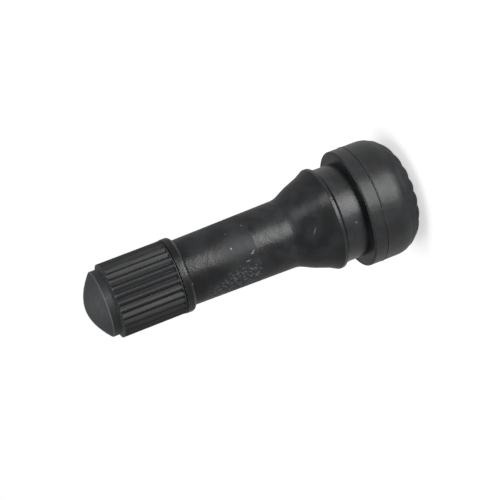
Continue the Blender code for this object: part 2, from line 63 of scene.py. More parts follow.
camera_data = bpy.data.cameras.new("photo_camera")
camera_data.lens = LENS
camera_data.sensor_width = SENSOR
camera_data.clip_start = 0.01
camera = bpy.data.objects.new("photo_camera", camera_data)
bpy.context.scene.collection.objects.link(camera)
look = Vector((0.0, cos(radians(VIEW_TILT)), -sin(radians(VIEW_TILT))))
look_turn = Matrix.Rotation(radians(90.0 - VIEW_TILT), 4, 'X') @ Matrix.Rotation(radians(VIEW_ROLL), 4, 'Z')
camera.matrix_world = Matrix.Translation((AIM - VIEW_DISTANCE * look) * MM) @ look_turn
bpy.context.scene.camera = camera
bpy.context.scene.view_settings.view_transform = 'Standard'


# Floor and studio light. A round white table carries the valve, and paper stands all round it.
# The camera sees both as white, and glossy surfaces see them as pale grey, because the paper
# stands well behind the lamps. Lamp light passes through the table, as through frosted glass.
FLOOR_RADIUS = 60.0
FLOOR_GAP = 0.02
FLOOR_GREY = "#e6e6e6"
FLOOR_LIFT = 0.60
FLOOR_SHEEN = 0.15
ROOM_LIGHT = 0.22
PAPER_SHEEN = 0.35
VALVE_MIDDLE = 20.0


def linear(hex_colour):
    """Turn an sRGB hex colour into the linear colour that the shaders take."""
    channels = []
    for start in (1, 3, 5):
        value = int(hex_colour[start:start + 2], 16) / 255.0
        channels.append(value / 12.92 if value <= 0.04045 else ((value + 0.055) / 1.055) ** 2.4)
    return (*channels, 1.0)


def add_node(tree, kind, inputs=None, **settings):
    """Add a node with its settings. An input takes a value, a socket, or a node's first output."""
    node = tree.nodes.new(kind)
    for name, value in settings.items():
        setattr(node, name, value)
    for name, value in (inputs or {}).items():
        if isinstance(value, bpy.types.Node):
            value = value.outputs[0]
        if isinstance(value, bpy.types.NodeSocket):
            tree.links.new(value, node.inputs[name])
        else:
            node.inputs[name].default_value = value
    return node


def add_lamp(name, azimuth, elevation, distance, width, height, watts):
    """Soft box that faces the middle of the valve. Azimuth 0 is the camera's side."""
    data = bpy.data.lights.new(name, 'AREA')
    data.shape = 'RECTANGLE'
    data.size = width * MM
    data.size_y = height * MM
    data.energy = watts
    data.cycles.use_multiple_importance_sampling = False
    lamp = bpy.data.objects.new(name, data)
    bpy.context.scene.collection.objects.link(lamp)
    turn = Matrix.Rotation(radians(azimuth), 4, 'Z') @ Matrix.Rotation(radians(90.0 - elevation), 4, 'X')
    middle = Matrix.Translation(Vector((0.0, 0.0, VALVE_MIDDLE * MM)))
    lamp.matrix_world = middle @ turn @ Matrix.Translation((0.0, 0.0, distance * MM))
    return lamp


world = bpy.data.worlds.new("white_paper")
world.use_nodes = True
bpy.context.scene.world = world
tree = world.node_tree
tree.nodes.clear()
rays = add_node(tree, 'ShaderNodeLightPath')
sheen = add_node(tree, 'ShaderNodeMapRange', {
    "Value": rays.outputs["Is Glossy Ray"], "To Min": ROOM_LIGHT, "To Max": PAPER_SHEEN})
seen = add_node(tree, 'ShaderNodeMath', {
    0: rays.outputs["Is Camera Ray"], 1: rays.outputs["Is Transmission Ray"]}, operation='MAXIMUM')
strength = add_node(tree, 'ShaderNodeMapRange', {"Value": seen, "To Min": sheen, "To Max": 1.0})
paper = add_node(tree, 'ShaderNodeBackground', {"Color": (1.0, 1.0, 1.0, 1.0), "Strength": strength})
add_node(tree, 'ShaderNodeOutputWorld', {"Surface": paper})

floor_material = bpy.data.materials.new("white_table")
floor_material.use_nodes = True
tree = floor_material.node_tree
tree.nodes.clear()
rays = add_node(tree, 'ShaderNodeLightPath')
side = add_node(tree, 'ShaderNodeNewGeometry')
matt = add_node(tree, 'ShaderNodeBsdfDiffuse', {"Color": linear(FLOOR_GREY)})
sheen = add_node(tree, 'ShaderNodeMath', {0: rays.outputs["Is Glossy Ray"], 1: FLOOR_SHEEN},
                 operation='MULTIPLY')
seen = add_node(tree, 'ShaderNodeMath', {
    0: rays.outputs["Is Camera Ray"], 1: rays.outputs["Is Transmission Ray"]}, operation='MAXIMUM')
lift = add_node(tree, 'ShaderNodeMapRange', {"Value": seen, "To Min": sheen, "To Max": FLOOR_LIFT})
glow = add_node(tree, 'ShaderNodeEmission', {"Strength": lift})
top = add_node(tree, 'ShaderNodeAddShader', {0: matt, 1: glow})
clear = add_node(tree, 'ShaderNodeBsdfTransparent')
unseen = add_node(tree, 'ShaderNodeMath', {
    0: side.outputs["Backfacing"], 1: rays.outputs["Is Shadow Ray"]}, operation='MAXIMUM')
table_top = add_node(tree, 'ShaderNodeMixShader', {0: unseen, 1: top, 2: clear})
add_node(tree, 'ShaderNodeOutputMaterial', {"Surface": table_top})

bm = bmesh.new()
bmesh.ops.create_circle(bm, cap_ends=True, segments=96, radius=FLOOR_RADIUS * MM)
bmesh.ops.translate(bm, vec=(0.0, 0.0, -FLOOR_GAP * MM), verts=bm.verts)
floor_mesh = bpy.data.meshes.new("floor")
bm.to_mesh(floor_mesh)
bm.free()
floor_mesh.materials.append(floor_material)
floor = bpy.data.objects.new("floor", floor_mesh)
bpy.context.scene.collection.objects.link(floor)

add_lamp("key_softbox", azimuth=11.0, elevation=-24.0, distance=260.0, width=180.0, height=110.0, watts=0.50)
add_lamp("side_softbox", azimuth=42.0, elevation=28.0, distance=260.0, width=80.0, height=80.0, watts=0.08)
add_lamp("top_softbox", azimuth=0.0, elevation=88.0, distance=300.0, width=300.0, height=300.0, watts=0.55)


# Rubber body. One moulding of black rubber over the brass stem: the bulb that sits inside the
# wheel, the groove for the rim, the bead that snaps through the hole, and the long stem with a
# band round its top. It has a flash line round the bulb and ridges on its round shoulder.
SEAT_WIDTH = 1.53
BULB_HEIGHT = 8.05
SHOULDER_ROUND = 3.95
SEAT_EDGE_ROUND = 0.25
PARTING_DROP = 1.95
PARTING_PROUD = 0.05
PARTING_WIDTH = 0.36
PARTING_NICK = 0.04
RIDGE_COUNT = 18
RIDGE_DEPTH = 0.22
RIDGE_CURVE = 2.0
RIDGE_START = radians(28.0)
ARC_GROOVE_TURN = radians(24.0)
ARC_GROOVE_WIDTH = radians(7.0)
ARC_GROOVE_DEPTH = 0.06
NECK_RADIUS = 6.42
NECK_LENGTH = 2.20
BEAD_PROUD = 0.49
BEAD_RISE = 1.60
BEAD_WIDTH = 0.46
BEAD_ROUND = 0.22
BEAD_LIP_PROUD = 0.08
BEAD_LIP_DROP = 0.30
WAIST_RISE = 1.10
WAIST_DROP = 0.58
WAIST_ROUND = 0.60
FLARE_LENGTH = 4.00
FLARE_BULGE = 0.12
FLARE_ROUND = 3.00
STEM_FOOT_RADIUS = 4.63
STEM_TOP_RADIUS = 4.40
TOP_BAND_RADIUS = 5.00
TOP_BAND_LENGTH = 1.26
TOP_BAND_ROUND = 0.54
TOP_BAND_FILLET = 0.05
TOP_EDGE_ROUND = 0.10
WITNESS_HEIGHT = 22.53
WITNESS_PROUD = 0.015
WITNESS_WIDTH = 0.16
RUBBER_LENGTH = 33.08
AIR_HOLE_RADIUS = 2.00
AIR_HOLE_FLARE = 0.35
SHANK_POCKET_RADIUS = 3.05
GRIP_GROOVE_COUNT = 4
GRIP_GROOVE_DEPTH = 0.30
GRIP_GROOVE_WIDTH = 1.20
GRIP_GROOVE_PITCH = 2.40
FOOT_POCKET_Z = 3.95
FOOT_POCKET_RADIUS = 4.65
FOOT_POCKET_HEIGHT = 1.00
RUBBER_SIDES = 360
ARC_ERROR = 0.0006
ARC_ROOM = 0.98
HOLD = 0.04
SHARP_ANGLE = radians(35.0)

BULB_RADIUS = NECK_RADIUS + SEAT_WIDTH
BASE_FLAT_RADIUS = BULB_RADIUS - SHOULDER_ROUND
BEAD_FOOT = BULB_HEIGHT + NECK_LENGTH
BEAD_TOP = BEAD_FOOT + BEAD_RISE
WAIST_TOP = BEAD_TOP + WAIST_RISE
FLARE_TOP = WAIST_TOP + FLARE_LENGTH
TOP_BAND_FOOT = RUBBER_LENGTH - TOP_BAND_LENGTH


def rounded(corners):
    """Points through the corners of a closed profile, each a radius, a height and a rounding.

    Two arcs that meet on one side of the profile share it in proportion to their roundings.
    """
    profile = []
    for index, (radius, height, rounding) in enumerate(corners):
        if rounding == 0.0:
            profile.append((radius, height))
            continue
        corner = Vector((radius, height))
        ends = (corners[index - 1], corners[(index + 1) % len(corners)])
        before, after = (Vector(end[:2]) - corner for end in ends)
        half = before.angle(after) / 2.0
        room = [ARC_ROOM * side.length * rounding / (rounding + end[2])
                for side, end in zip((before, after), ends)]
        reach = min(rounding / tan(half), *room)
        rounding = reach * tan(half)
        start = corner + before.normalized() * reach
        end = corner + after.normalized() * reach
        middle = before.normalized() + after.normalized()
        centre = corner + middle.normalized() * rounding / sin(half)
        turn = (start - centre).angle_signed(end - centre)
        steps = max(3, ceil(abs(turn) / (2.0 * acos(1.0 - ARC_ERROR / rounding))))
        start_angle = atan2(start.y - centre.y, start.x - centre.x)
        for step in range(steps + 1):
            angle = start_angle - turn * step / steps
            profile.append((centre.x + rounding * cos(angle), centre.y + rounding * sin(angle)))
    return profile


def even_angles(count, start=0.0):
    """Angles of the corners of an evenly divided ring."""
    return [start + tau * index / count for index in range(count)]


def held_flat(profile):
    """Add points close to both ends of each long side, so that it shades flat up to its corners."""
    held = []
    closing = profile[:1] if profile[0][0] > 0.0 else []
    for point, following in zip(profile, profile[1:] + closing):
        held.append(point)
        side = Vector(following) - Vector(point)
        if side.length > 10.0 * HOLD:
            inset = side.normalized() * HOLD
            held.append(tuple(Vector(point) + inset))
            held.append(tuple(Vector(following) - inset))
    if not closing:
        held.append(profile[-1])
    return held


def turned(name, profile, angles, material):
    """Spin a profile of radii and heights into a mesh, down its outside and up its inside.

    A profile that starts and ends on the axis closes there, and any other closes on itself.
    """
    bm = bmesh.new()
    rings = []
    for radius, height in held_flat(profile):
        if radius == 0.0:
            rings.append([bm.verts.new((0.0, 0.0, height * MM))])
        else:
            rings.append([bm.verts.new((radius * MM * cos(angle), radius * MM * sin(angle), height * MM))
                          for angle in angles])
    pairs = list(zip(rings, rings[1:]))
    if len(rings[0]) > 1:
        pairs.append((rings[-1], rings[0]))
    count = len(angles)
    for first, second in pairs:
        for index in range(count):
            after = (index + 1) % count
            corners = [second[index % len(second)], second[after % len(second)],
                       first[after % len(first)], first[index % len(first)]]
            bm.faces.new(list(dict.fromkeys(corners)))
    mesh = bpy.data.meshes.new(name)
    bm.to_mesh(mesh)
    bm.free()
    mesh.materials.append(material)
    mesh.shade_smooth()
    mesh.set_sharp_from_angle(angle=SHARP_ANGLE)
    piece = bpy.data.objects.new(name, mesh)
    bpy.context.scene.collection.objects.link(piece)
    return piece


def make_tree(name, sizes):
    """Start a Geometry Nodes tree with a mesh, a material and its named sizes as inputs."""
    tree = bpy.data.node_groups.new(name, 'GeometryNodeTree')
    tree.interface.new_socket("Geometry", in_out='INPUT', socket_type='NodeSocketGeometry')
    for size_name in sizes:
        tree.interface.new_socket(size_name, in_out='INPUT', socket_type='NodeSocketFloat')
    tree.interface.new_socket("Material", in_out='INPUT', socket_type='NodeSocketMaterial')
    tree.interface.new_socket("Geometry", in_out='OUTPUT', socket_type='NodeSocketGeometry')
    return tree, add_node(tree, 'NodeGroupInput')


def end_tree(tree, given, geometry):
    """Close a Geometry Nodes tree: real meshes only, all with the piece's material."""
    real = add_node(tree, 'GeometryNodeRealizeInstances', {"Geometry": geometry})
    dressed = add_node(tree, 'GeometryNodeSetMaterial', {
        "Geometry": real, "Material": given.outputs["Material"]})
    add_node(tree, 'NodeGroupOutput', {"Geometry": dressed})


def turns_and_height(tree):
    """Each vertex's place round the axis, in turns, and its height, as two outputs."""
    place = add_node(tree, 'GeometryNodeInputPosition')
    parts = add_node(tree, 'ShaderNodeSeparateXYZ', {0: place})
    angle = add_node(tree, 'ShaderNodeMath', {0: parts.outputs["Y"], 1: parts.outputs["X"]},
                     operation='ARCTAN2')
    turns = add_node(tree, 'ShaderNodeMath', {0: angle, 1: tau}, operation='DIVIDE')
    return turns.outputs[0], parts.outputs["Z"]


def end_with_rise(tree, given, rise):
    """Move each vertex by its own stored reach, times the rise, and close the tree."""
    reach = add_node(tree, 'GeometryNodeInputNamedAttribute', {"Name": "reach"}, data_type='FLOAT_VECTOR')
    move = add_node(tree, 'ShaderNodeVectorMath', {0: reach, "Scale": rise}, operation='SCALE')
    moved = add_node(tree, 'GeometryNodeSetPosition', {
        "Geometry": given.outputs["Geometry"], "Offset": move})
    end_tree(tree, given, moved)


def make_valley_tree():
    """Valleys round an axis, side by side, that leave ribs between them.

    Phase is where the first valley lies, as a share of the pitch. Curve is 1 for ribs with flat
    sides, and more for rounded ones.
    """
    tree, given = make_tree("valleys", ("Count", "Depth", "Curve", "Phase"))
    turns, _ = turns_and_height(tree)
    pitches = add_node(tree, 'ShaderNodeMath', {0: turns, 1: given.outputs["Count"]}, operation='MULTIPLY')
    placed = add_node(tree, 'ShaderNodeMath', {0: pitches, 1: given.outputs["Phase"]}, operation='SUBTRACT')
    off_valley = add_node(tree, 'ShaderNodeMath', {0: placed, 1: 0.5}, operation='PINGPONG')
    side = add_node(tree, 'ShaderNodeMapRange', {
        "Value": off_valley, "From Max": 0.5, "To Min": 1.0, "To Max": 0.0})
    section = add_node(tree, 'ShaderNodeMath', {0: side, 1: given.outputs["Curve"]}, operation='POWER')
    sunk = add_node(tree, 'ShaderNodeMath', {0: section, 1: given.outputs["Depth"]}, operation='MULTIPLY')
    end_with_rise(tree, given, sunk)
    return tree


def shape_with(piece, tree, material, sizes, reach=None):
    """Run a tree on a piece and keep the outcome as its plain mesh.

    Where it is given, reach(radius, height) says how far out and up, in mm, the tree's pattern
    may move a vertex.
    """
    if reach:
        attribute = piece.data.attributes.new("reach", 'FLOAT_VECTOR', 'POINT')
        for vertex, value in zip(piece.data.vertices, attribute.data):
            radius = vertex.co.xy.length
            if radius > 0.0:
                out, up = reach(radius / MM, vertex.co.z / MM)
                value.vector = (out * vertex.co.x / radius, out * vertex.co.y / radius, up)
    modifier = piece.modifiers.new(tree.name, 'NODES')
    modifier.node_group = tree
    for item in tree.interface.items_tree:
        if item.in_out == 'INPUT' and item.name in sizes:
            modifier[item.identifier] = sizes[item.name]
        if item.in_out == 'INPUT' and item.name == "Material":
            modifier[item.identifier] = material
    bpy.context.view_layer.update()
    evaluated = piece.evaluated_get(bpy.context.evaluated_depsgraph_get())
    mesh = bpy.data.meshes.new_from_object(evaluated)
    if reach:
        mesh.attributes.remove(mesh.attributes["reach"])
    piece.modifiers.remove(modifier)
    piece.data = mesh
    mesh.name = piece.name


def grip_grooves(radius):
    """Corners of the grooves that key the brass shank into the rubber, from the top down."""
    corners = []
    for index in range(GRIP_GROOVE_COUNT):
        top = RUBBER_LENGTH - (index + 1) * GRIP_GROOVE_PITCH
        corners.append((radius, top, 0.0))
        corners.append((radius - GRIP_GROOVE_DEPTH, top - GRIP_GROOVE_WIDTH / 2.0, 0.0))
        corners.append((radius, top - GRIP_GROOVE_WIDTH, 0.0))
    return corners


def start_material(name):
    """A material whose patterns are measured in millimetres on the piece itself."""
    material = bpy.data.materials.new(name)
    material.use_nodes = True
    tree = material.node_tree
    tree.nodes.clear()
    coordinates = add_node(tree, 'ShaderNodeTexCoord')
    spot = add_node(tree, 'ShaderNodeVectorMath', {0: coordinates.outputs["Object"], "Scale": 1.0 / MM},
                    operation='SCALE')
    return material, tree, spot


# Black vulcanised rubber, moulded in a blasted steel mould: a fine even grain and a soft gloss.
# Its skin has soft waves, because rubber shrinks as it cools. The bulb is a little duller than the
# groove and the flare, and the stem is duller again up from the mould's witness line, with a chalky
# rub on one side. Lint lies here and there. Each piece of lint is given by its place across and up
# the side that the camera sees, its width, and how pale it is. The grain is drawn at 0.25 mm,
# coarser than the real 0.05 mm, to show.
RUBBER_BLACK = "#101113"
RUBBER_HAZE = "#232528"
CHALK_GREY = "#96989b"
RUBBER_GLOSS = 0.34
STEM_GLOSS = 0.32
STEM_DULL = 0.50
BULB_DULL = 0.41
DULL_TOP = 26.5
DULL_FADE = 2.0
WITNESS_FADE = 0.06
CHALK_SLANT = 2.0
CHALK_TOP = 23.6
CHALK_FULL = 21.0
CHALK_SIDE = -1.4
CHALK_SIDE_FULL = -3.2
CHALK_CRUMB = 0.27
SEEN_SIDE = 0.5
SEEN_SIDE_FULL = -0.8
HAZE_CLOUD = 2.5
RUBBER_GRAIN = 0.25
RUBBER_GRAIN_RELIEF = 0.009
SKIN_WAVE = 1.3
SKIN_WAVE_RELIEF = 0.055
RUBBER_IOR = 1.52
LINT = (
    (0.63, 25.68, 0.14, 1.0),
    (2.63, 25.52, 0.09, 0.3),
    (2.95, 23.10, 0.10, 0.3),
    (-1.58, 24.32, 0.08, 0.6),
    (-1.58, 24.12, 0.10, 0.7),
    (-1.58, 23.90, 0.09, 0.7),
    (-0.80, 23.20, 0.14, 0.8),
    (-0.60, 23.02, 0.11, 0.7),
    (-0.88, 23.42, 0.10, 0.6),
    (-1.68, 31.92, 0.07, 0.5),
    (-1.82, 32.00, 0.07, 0.5),
    (-1.97, 9.48, 0.13, 0.45),
    (-1.39, 15.09, 0.08, 0.20),
    (-1.23, 14.98, 0.10, 0.30),
    (-1.08, 14.87, 0.11, 0.35),
    (-0.92, 14.76, 0.10, 0.30),
    (-0.76, 14.65, 0.08, 0.20),
)
rubber, tree, spot = start_material("black_moulded_rubber")
parts = add_node(tree, 'ShaderNodeSeparateXYZ', {0: spot})
on_stem = add_node(tree, 'ShaderNodeMapRange', {
    "Value": parts.outputs["Z"], "From Min": WITNESS_HEIGHT - WITNESS_FADE,
    "From Max": WITNESS_HEIGHT + WITNESS_FADE})
slant = add_node(tree, 'ShaderNodeMath', {0: parts.outputs["X"], 1: CHALK_SLANT, 2: parts.outputs["Z"]},
                 operation='MULTIPLY_ADD')
near_ring = add_node(tree, 'ShaderNodeMapRange', {
    "Value": slant, "From Min": CHALK_TOP, "From Max": CHALK_FULL}, interpolation_type='SMOOTHSTEP')
low_side = add_node(tree, 'ShaderNodeMapRange', {
    "Value": parts.outputs["X"], "From Min": CHALK_SIDE, "From Max": CHALK_SIDE_FULL},
                    interpolation_type='SMOOTHSTEP')
front = add_node(tree, 'ShaderNodeMapRange', {
    "Value": parts.outputs["Y"], "From Min": SEEN_SIDE, "From Max": SEEN_SIDE_FULL},
                 interpolation_type='SMOOTHSTEP')
crumbs = add_node(tree, 'ShaderNodeTexNoise', {"Vector": spot, "Scale": 1.0 / CHALK_CRUMB, "Detail": 4.0})
light_marks = add_node(tree, 'ShaderNodeMapRange', {
    "Value": crumbs, "From Min": 0.48, "From Max": 0.68, "To Max": 0.42}, interpolation_type='SMOOTHSTEP')
for mask in (on_stem, near_ring, low_side, front):
    light_marks = add_node(tree, 'ShaderNodeMath', {0: light_marks, 1: mask}, operation='MULTIPLY')
sidelong = add_node(tree, 'ShaderNodeVectorMath', {0: spot, 1: (1.0, 0.0, 1.0)}, operation='MULTIPLY')
for lint_x, lint_height, width, strength in LINT:
    gap = add_node(tree, 'ShaderNodeVectorMath', {0: sidelong, 1: (lint_x, 0.0, lint_height)},
                   operation='DISTANCE')
    mark = add_node(tree, 'ShaderNodeMapRange', {
        "Value": gap.outputs["Value"], "From Min": width * 1.2, "From Max": width * 0.6,
        "To Max": strength}, interpolation_type='SMOOTHSTEP')
    mark = add_node(tree, 'ShaderNodeMath', {0: mark, 1: front}, operation='MULTIPLY')
    light_marks = add_node(tree, 'ShaderNodeMath', {0: light_marks, 1: mark}, operation='MAXIMUM')
cloud = add_node(tree, 'ShaderNodeTexNoise', {"Vector": spot, "Scale": 1.0 / HAZE_CLOUD, "Detail": 4.0})
haze = add_node(tree, 'ShaderNodeMapRange', {
    "Value": cloud, "From Min": 0.38, "From Max": 0.68}, interpolation_type='SMOOTHSTEP')
ground = add_node(tree, 'ShaderNodeMix', {0: haze, 6: linear(RUBBER_BLACK), 7: linear(RUBBER_HAZE)},
                  data_type='RGBA')
colour = add_node(tree, 'ShaderNodeMix', {0: light_marks, 6: ground.outputs[2], 7: linear(CHALK_GREY)},
                  data_type='RGBA')
above_ring = add_node(tree, 'ShaderNodeMapRange', {
    "Value": parts.outputs["Z"], "From Min": DULL_TOP, "From Max": DULL_TOP + DULL_FADE,
    "To Min": STEM_DULL, "To Max": STEM_GLOSS}, interpolation_type='SMOOTHSTEP')
above_bulb = add_node(tree, 'ShaderNodeMath', {0: parts.outputs["Z"], 1: BULB_HEIGHT - 0.05},
                      operation='GREATER_THAN')
below_ring = add_node(tree, 'ShaderNodeMapRange', {
    "Value": above_bulb, "To Min": BULB_DULL, "To Max": RUBBER_GLOSS})
dullness = add_node(tree, 'ShaderNodeMapRange', {
    "Value": on_stem, "To Min": below_ring, "To Max": above_ring})
cloudiness = add_node(tree, 'ShaderNodeMapRange', {
    "Value": cloud, "From Min": 0.3, "From Max": 0.7, "To Min": -0.04, "To Max": 0.06})
cloudy = add_node(tree, 'ShaderNodeMath', {0: dullness, 1: cloudiness}, operation='ADD')
roughness = add_node(tree, 'ShaderNodeMath', {0: light_marks, 1: 0.3, 2: cloudy}, operation='MULTIPLY_ADD')
grain = add_node(tree, 'ShaderNodeTexNoise', {"Vector": spot, "Scale": 1.0 / RUBBER_GRAIN, "Detail": 3.0})
fine = add_node(tree, 'ShaderNodeBump', {"Height": grain, "Distance": RUBBER_GRAIN_RELIEF * MM})
waves = add_node(tree, 'ShaderNodeTexNoise', {"Vector": spot, "Scale": 1.0 / SKIN_WAVE, "Detail": 3.0})
relief = add_node(tree, 'ShaderNodeBump', {
    "Height": waves, "Distance": SKIN_WAVE_RELIEF * MM, "Normal": fine})
surface = add_node(tree, 'ShaderNodeBsdfPrincipled', {
    "Base Color": colour.outputs[2], "Roughness": roughness, "IOR": RUBBER_IOR, "Normal": relief})
add_node(tree, 'ShaderNodeOutputMaterial', {"Surface": surface})

stem_taper = (STEM_TOP_RADIUS - STEM_FOOT_RADIUS) / (TOP_BAND_FOOT - FLARE_TOP)
witness_radius = STEM_FOOT_RADIUS + stem_taper * (WITNESS_HEIGHT - FLARE_TOP)
waist_radius = NECK_RADIUS + BEAD_PROUD - WAIST_DROP
flare_middle_radius = (STEM_FOOT_RADIUS + waist_radius) / 2.0 + FLARE_BULGE
parting = BULB_HEIGHT - PARTING_DROP
rubber_outside = [
    (TOP_BAND_RADIUS, RUBBER_LENGTH, TOP_EDGE_ROUND),
    (TOP_BAND_RADIUS, TOP_BAND_FOOT, TOP_BAND_ROUND),
    (STEM_TOP_RADIUS, TOP_BAND_FOOT, TOP_BAND_FILLET),
    (witness_radius, WITNESS_HEIGHT + WITNESS_WIDTH / 2.0, 0.0),
    (witness_radius + WITNESS_PROUD, WITNESS_HEIGHT, 0.0),
    (witness_radius, WITNESS_HEIGHT - WITNESS_WIDTH / 2.0, 0.0),
    (STEM_FOOT_RADIUS, FLARE_TOP, FLARE_ROUND),
    (flare_middle_radius, (FLARE_TOP + WAIST_TOP) / 2.0, FLARE_ROUND),
    (waist_radius, WAIST_TOP, WAIST_ROUND),
    (NECK_RADIUS + BEAD_PROUD, BEAD_TOP, BEAD_ROUND),
    (NECK_RADIUS + BEAD_PROUD, BEAD_TOP - BEAD_WIDTH, BEAD_ROUND),
    (NECK_RADIUS + BEAD_LIP_PROUD, BEAD_TOP - BEAD_WIDTH - BEAD_LIP_DROP, BEAD_ROUND),
    (NECK_RADIUS, BEAD_FOOT, WAIST_ROUND),
    (NECK_RADIUS, BULB_HEIGHT, 0.0),
    (BULB_RADIUS, BULB_HEIGHT, SEAT_EDGE_ROUND),
    (BULB_RADIUS, parting + 3.0 * PARTING_NICK, 0.0),
    (BULB_RADIUS - PARTING_NICK, parting + 2.0 * PARTING_NICK, 0.0),
    (BULB_RADIUS + PARTING_PROUD, parting, 0.0),
    (BULB_RADIUS, parting - PARTING_WIDTH / 2.0, 0.0),
    (BULB_RADIUS, 0.0, SHOULDER_ROUND),
]
rubber_inside = [
    (AIR_HOLE_RADIUS + AIR_HOLE_FLARE, 0.0, 0.0),
    (AIR_HOLE_RADIUS, AIR_HOLE_FLARE, 0.0),
    (AIR_HOLE_RADIUS, FOOT_POCKET_Z, 0.0),
    (FOOT_POCKET_RADIUS, FOOT_POCKET_Z, 0.0),
    (FOOT_POCKET_RADIUS, FOOT_POCKET_Z + FOOT_POCKET_HEIGHT, 0.0),
    (SHANK_POCKET_RADIUS, FOOT_POCKET_Z + FOOT_POCKET_HEIGHT, 0.0),
    *reversed(grip_grooves(SHANK_POCKET_RADIUS)),
    (SHANK_POCKET_RADIUS, RUBBER_LENGTH, 0.0),
]


def shoulder_turn(radius, height):
    """How far round the shoulder's arc a point lies, up to a quarter turn below, or None off it."""
    out, down = radius - BASE_FLAT_RADIUS, SHOULDER_ROUND - height
    if out < 0.0 or down < 0.0 or hypot(out, down) < SHOULDER_ROUND - ARC_GROOVE_DEPTH - ARC_ERROR:
        return None
    return atan2(down, out)


def with_arc_groove(radius, height):
    """A point of the profile, sunk where the fine groove runs round above the ridges."""
    turn = shoulder_turn(radius, height)
    if turn is None:
        return radius, height
    depth = ARC_GROOVE_DEPTH * max(0.0, 1.0 - abs(turn - ARC_GROOVE_TURN) / ARC_GROOVE_WIDTH)
    return radius - depth * cos(turn), height + depth * sin(turn)


def valley_reach(radius, height):
    """The valleys between the ridges lie along the round shoulder, and fade at both its ends."""
    turn = shoulder_turn(radius, height)
    if turn is None:
        return 0.0, 0.0
    along = (turn - RIDGE_START) / (pi / 2.0 - RIDGE_START)
    depth = sin(pi * min(max(along, 0.0), 1.0))
    return -depth * cos(turn), depth * sin(turn)


rubber_profile = [with_arc_groove(*point) for point in rounded(rubber_outside + rubber_inside)]
rubber_body = turned("moulded_rubber_body", rubber_profile, even_angles(RUBBER_SIDES), rubber)
valley_tree = make_valley_tree()
shape_with(rubber_body, valley_tree, rubber, {
    "Count": RIDGE_COUNT, "Depth": RIDGE_DEPTH * MM, "Curve": RIDGE_CURVE, "Phase": 0.0}, reach=valley_reach)
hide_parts("rubber_body")
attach(rubber_body, "stem")


# Brass stem. Turned from bar on a lathe, with a rolled right-hand thread of 32 turns to the inch
# for the cap and the air chuck, a finer thread in its mouth for the core, and a foot flange and
# a grooved shank that the rubber is moulded round.
STEM_TIP = 42.35
TIP_CHAMFER = 0.40
MOUTH_CHAMFER = 0.20
THREAD_RADIUS = 3.85
THREAD_FOOT = 33.13
THREAD_PITCH = 0.79375
THREAD_DEPTH = 0.42
SHANK_RADIUS = 3.00
FOOT_FLANGE_Z = 4.00
FOOT_FLANGE_RADIUS = 4.60
FOOT_FLANGE_THICKNESS = 0.90
STEM_BORE_RADIUS = 1.90
CONE_FOOT = 35.10
CONE_TOP = 36.60
CONE_RADIUS = 2.60
CORE_THREAD_RADIUS = 2.66
CORE_THREAD_PITCH = 0.7056
CORE_THREAD_DEPTH = 0.30
CORE_THREAD_FOOT = 37.70
THREAD_STEP = 0.085
THREAD_CREST_END = 0.05
THREAD_ROOT_START = 0.45
WALL_MATCH = 0.001
STEM_SIDES = 144
EDGE_ROUND = 0.06


def straight_run(radius, start, end):
    """Corners along a straight wall, close enough together to carry a screw thread."""
    count = ceil(abs(end - start) / THREAD_STEP)
    return [(radius, start + (end - start) * index / count, 0.0) for index in range(count + 1)]


def thread_reach(wall_radius):
    """The reach of a thread that is formed in towards the axis, on the wall of that radius."""
    return lambda radius, height: (-1.0 if abs(radius - wall_radius) < WALL_MATCH else 0.0, 0.0)


def make_thread_tree():
    """Right-hand screw thread of a pitch and a depth, crests on the wall and roots inside it.

    The flank runs from where the crest ends to where the root starts, as shares of the pitch.
    """
    tree, given = make_tree("screw_thread", ("Pitch", "Depth"))
    turns, height = turns_and_height(tree)
    pitches = add_node(tree, 'ShaderNodeMath', {0: height, 1: given.outputs["Pitch"]}, operation='DIVIDE')
    phase = add_node(tree, 'ShaderNodeMath', {0: pitches, 1: turns}, operation='SUBTRACT')
    off_crest = add_node(tree, 'ShaderNodeMath', {0: phase, 1: 0.5}, operation='PINGPONG')
    section = add_node(tree, 'ShaderNodeMapRange', {
        "Value": off_crest, "From Min": THREAD_CREST_END, "From Max": THREAD_ROOT_START},
                       interpolation_type='SMOOTHSTEP')
    sunk = add_node(tree, 'ShaderNodeMath', {0: section, 1: given.outputs["Depth"]}, operation='MULTIPLY')
    end_with_rise(tree, given, sunk)
    return tree


# Free-cutting brass, turned: bright yellow metal with fine rings from the tool, about 0.1 mm
# apart, and a faint brown tarnish in patches.
BRASS_YELLOW = "#dcbc78"
BRASS_TARNISH = "#b08a4a"
TOOL_RING = 0.10
TOOL_RING_RELIEF = 0.004
TARNISH_PATCH = 1.8
brass, tree, spot = start_material("turned_brass")
parts = add_node(tree, 'ShaderNodeSeparateXYZ', {0: spot})
across = add_node(tree, 'ShaderNodeVectorMath', {0: spot, 1: (1.0, 1.0, 0.0)}, operation='MULTIPLY')
radius_out = add_node(tree, 'ShaderNodeVectorMath', {0: across}, operation='LENGTH')
tool_way = add_node(tree, 'ShaderNodeMath', {0: parts.outputs["Z"], 1: radius_out.outputs["Value"]},
                    operation='ADD')
rings = add_node(tree, 'ShaderNodeTexNoise', {"W": tool_way, "Scale": 1.0 / TOOL_RING},
                 noise_dimensions='1D')
tool_marks = add_node(tree, 'ShaderNodeBump', {"Height": rings, "Distance": TOOL_RING_RELIEF * MM})
patches = add_node(tree, 'ShaderNodeTexNoise', {"Vector": spot, "Scale": 1.0 / TARNISH_PATCH, "Detail": 3.0})
tarnish = add_node(tree, 'ShaderNodeMapRange', {
    "Value": patches, "From Min": 0.45, "From Max": 0.75, "To Max": 0.6})
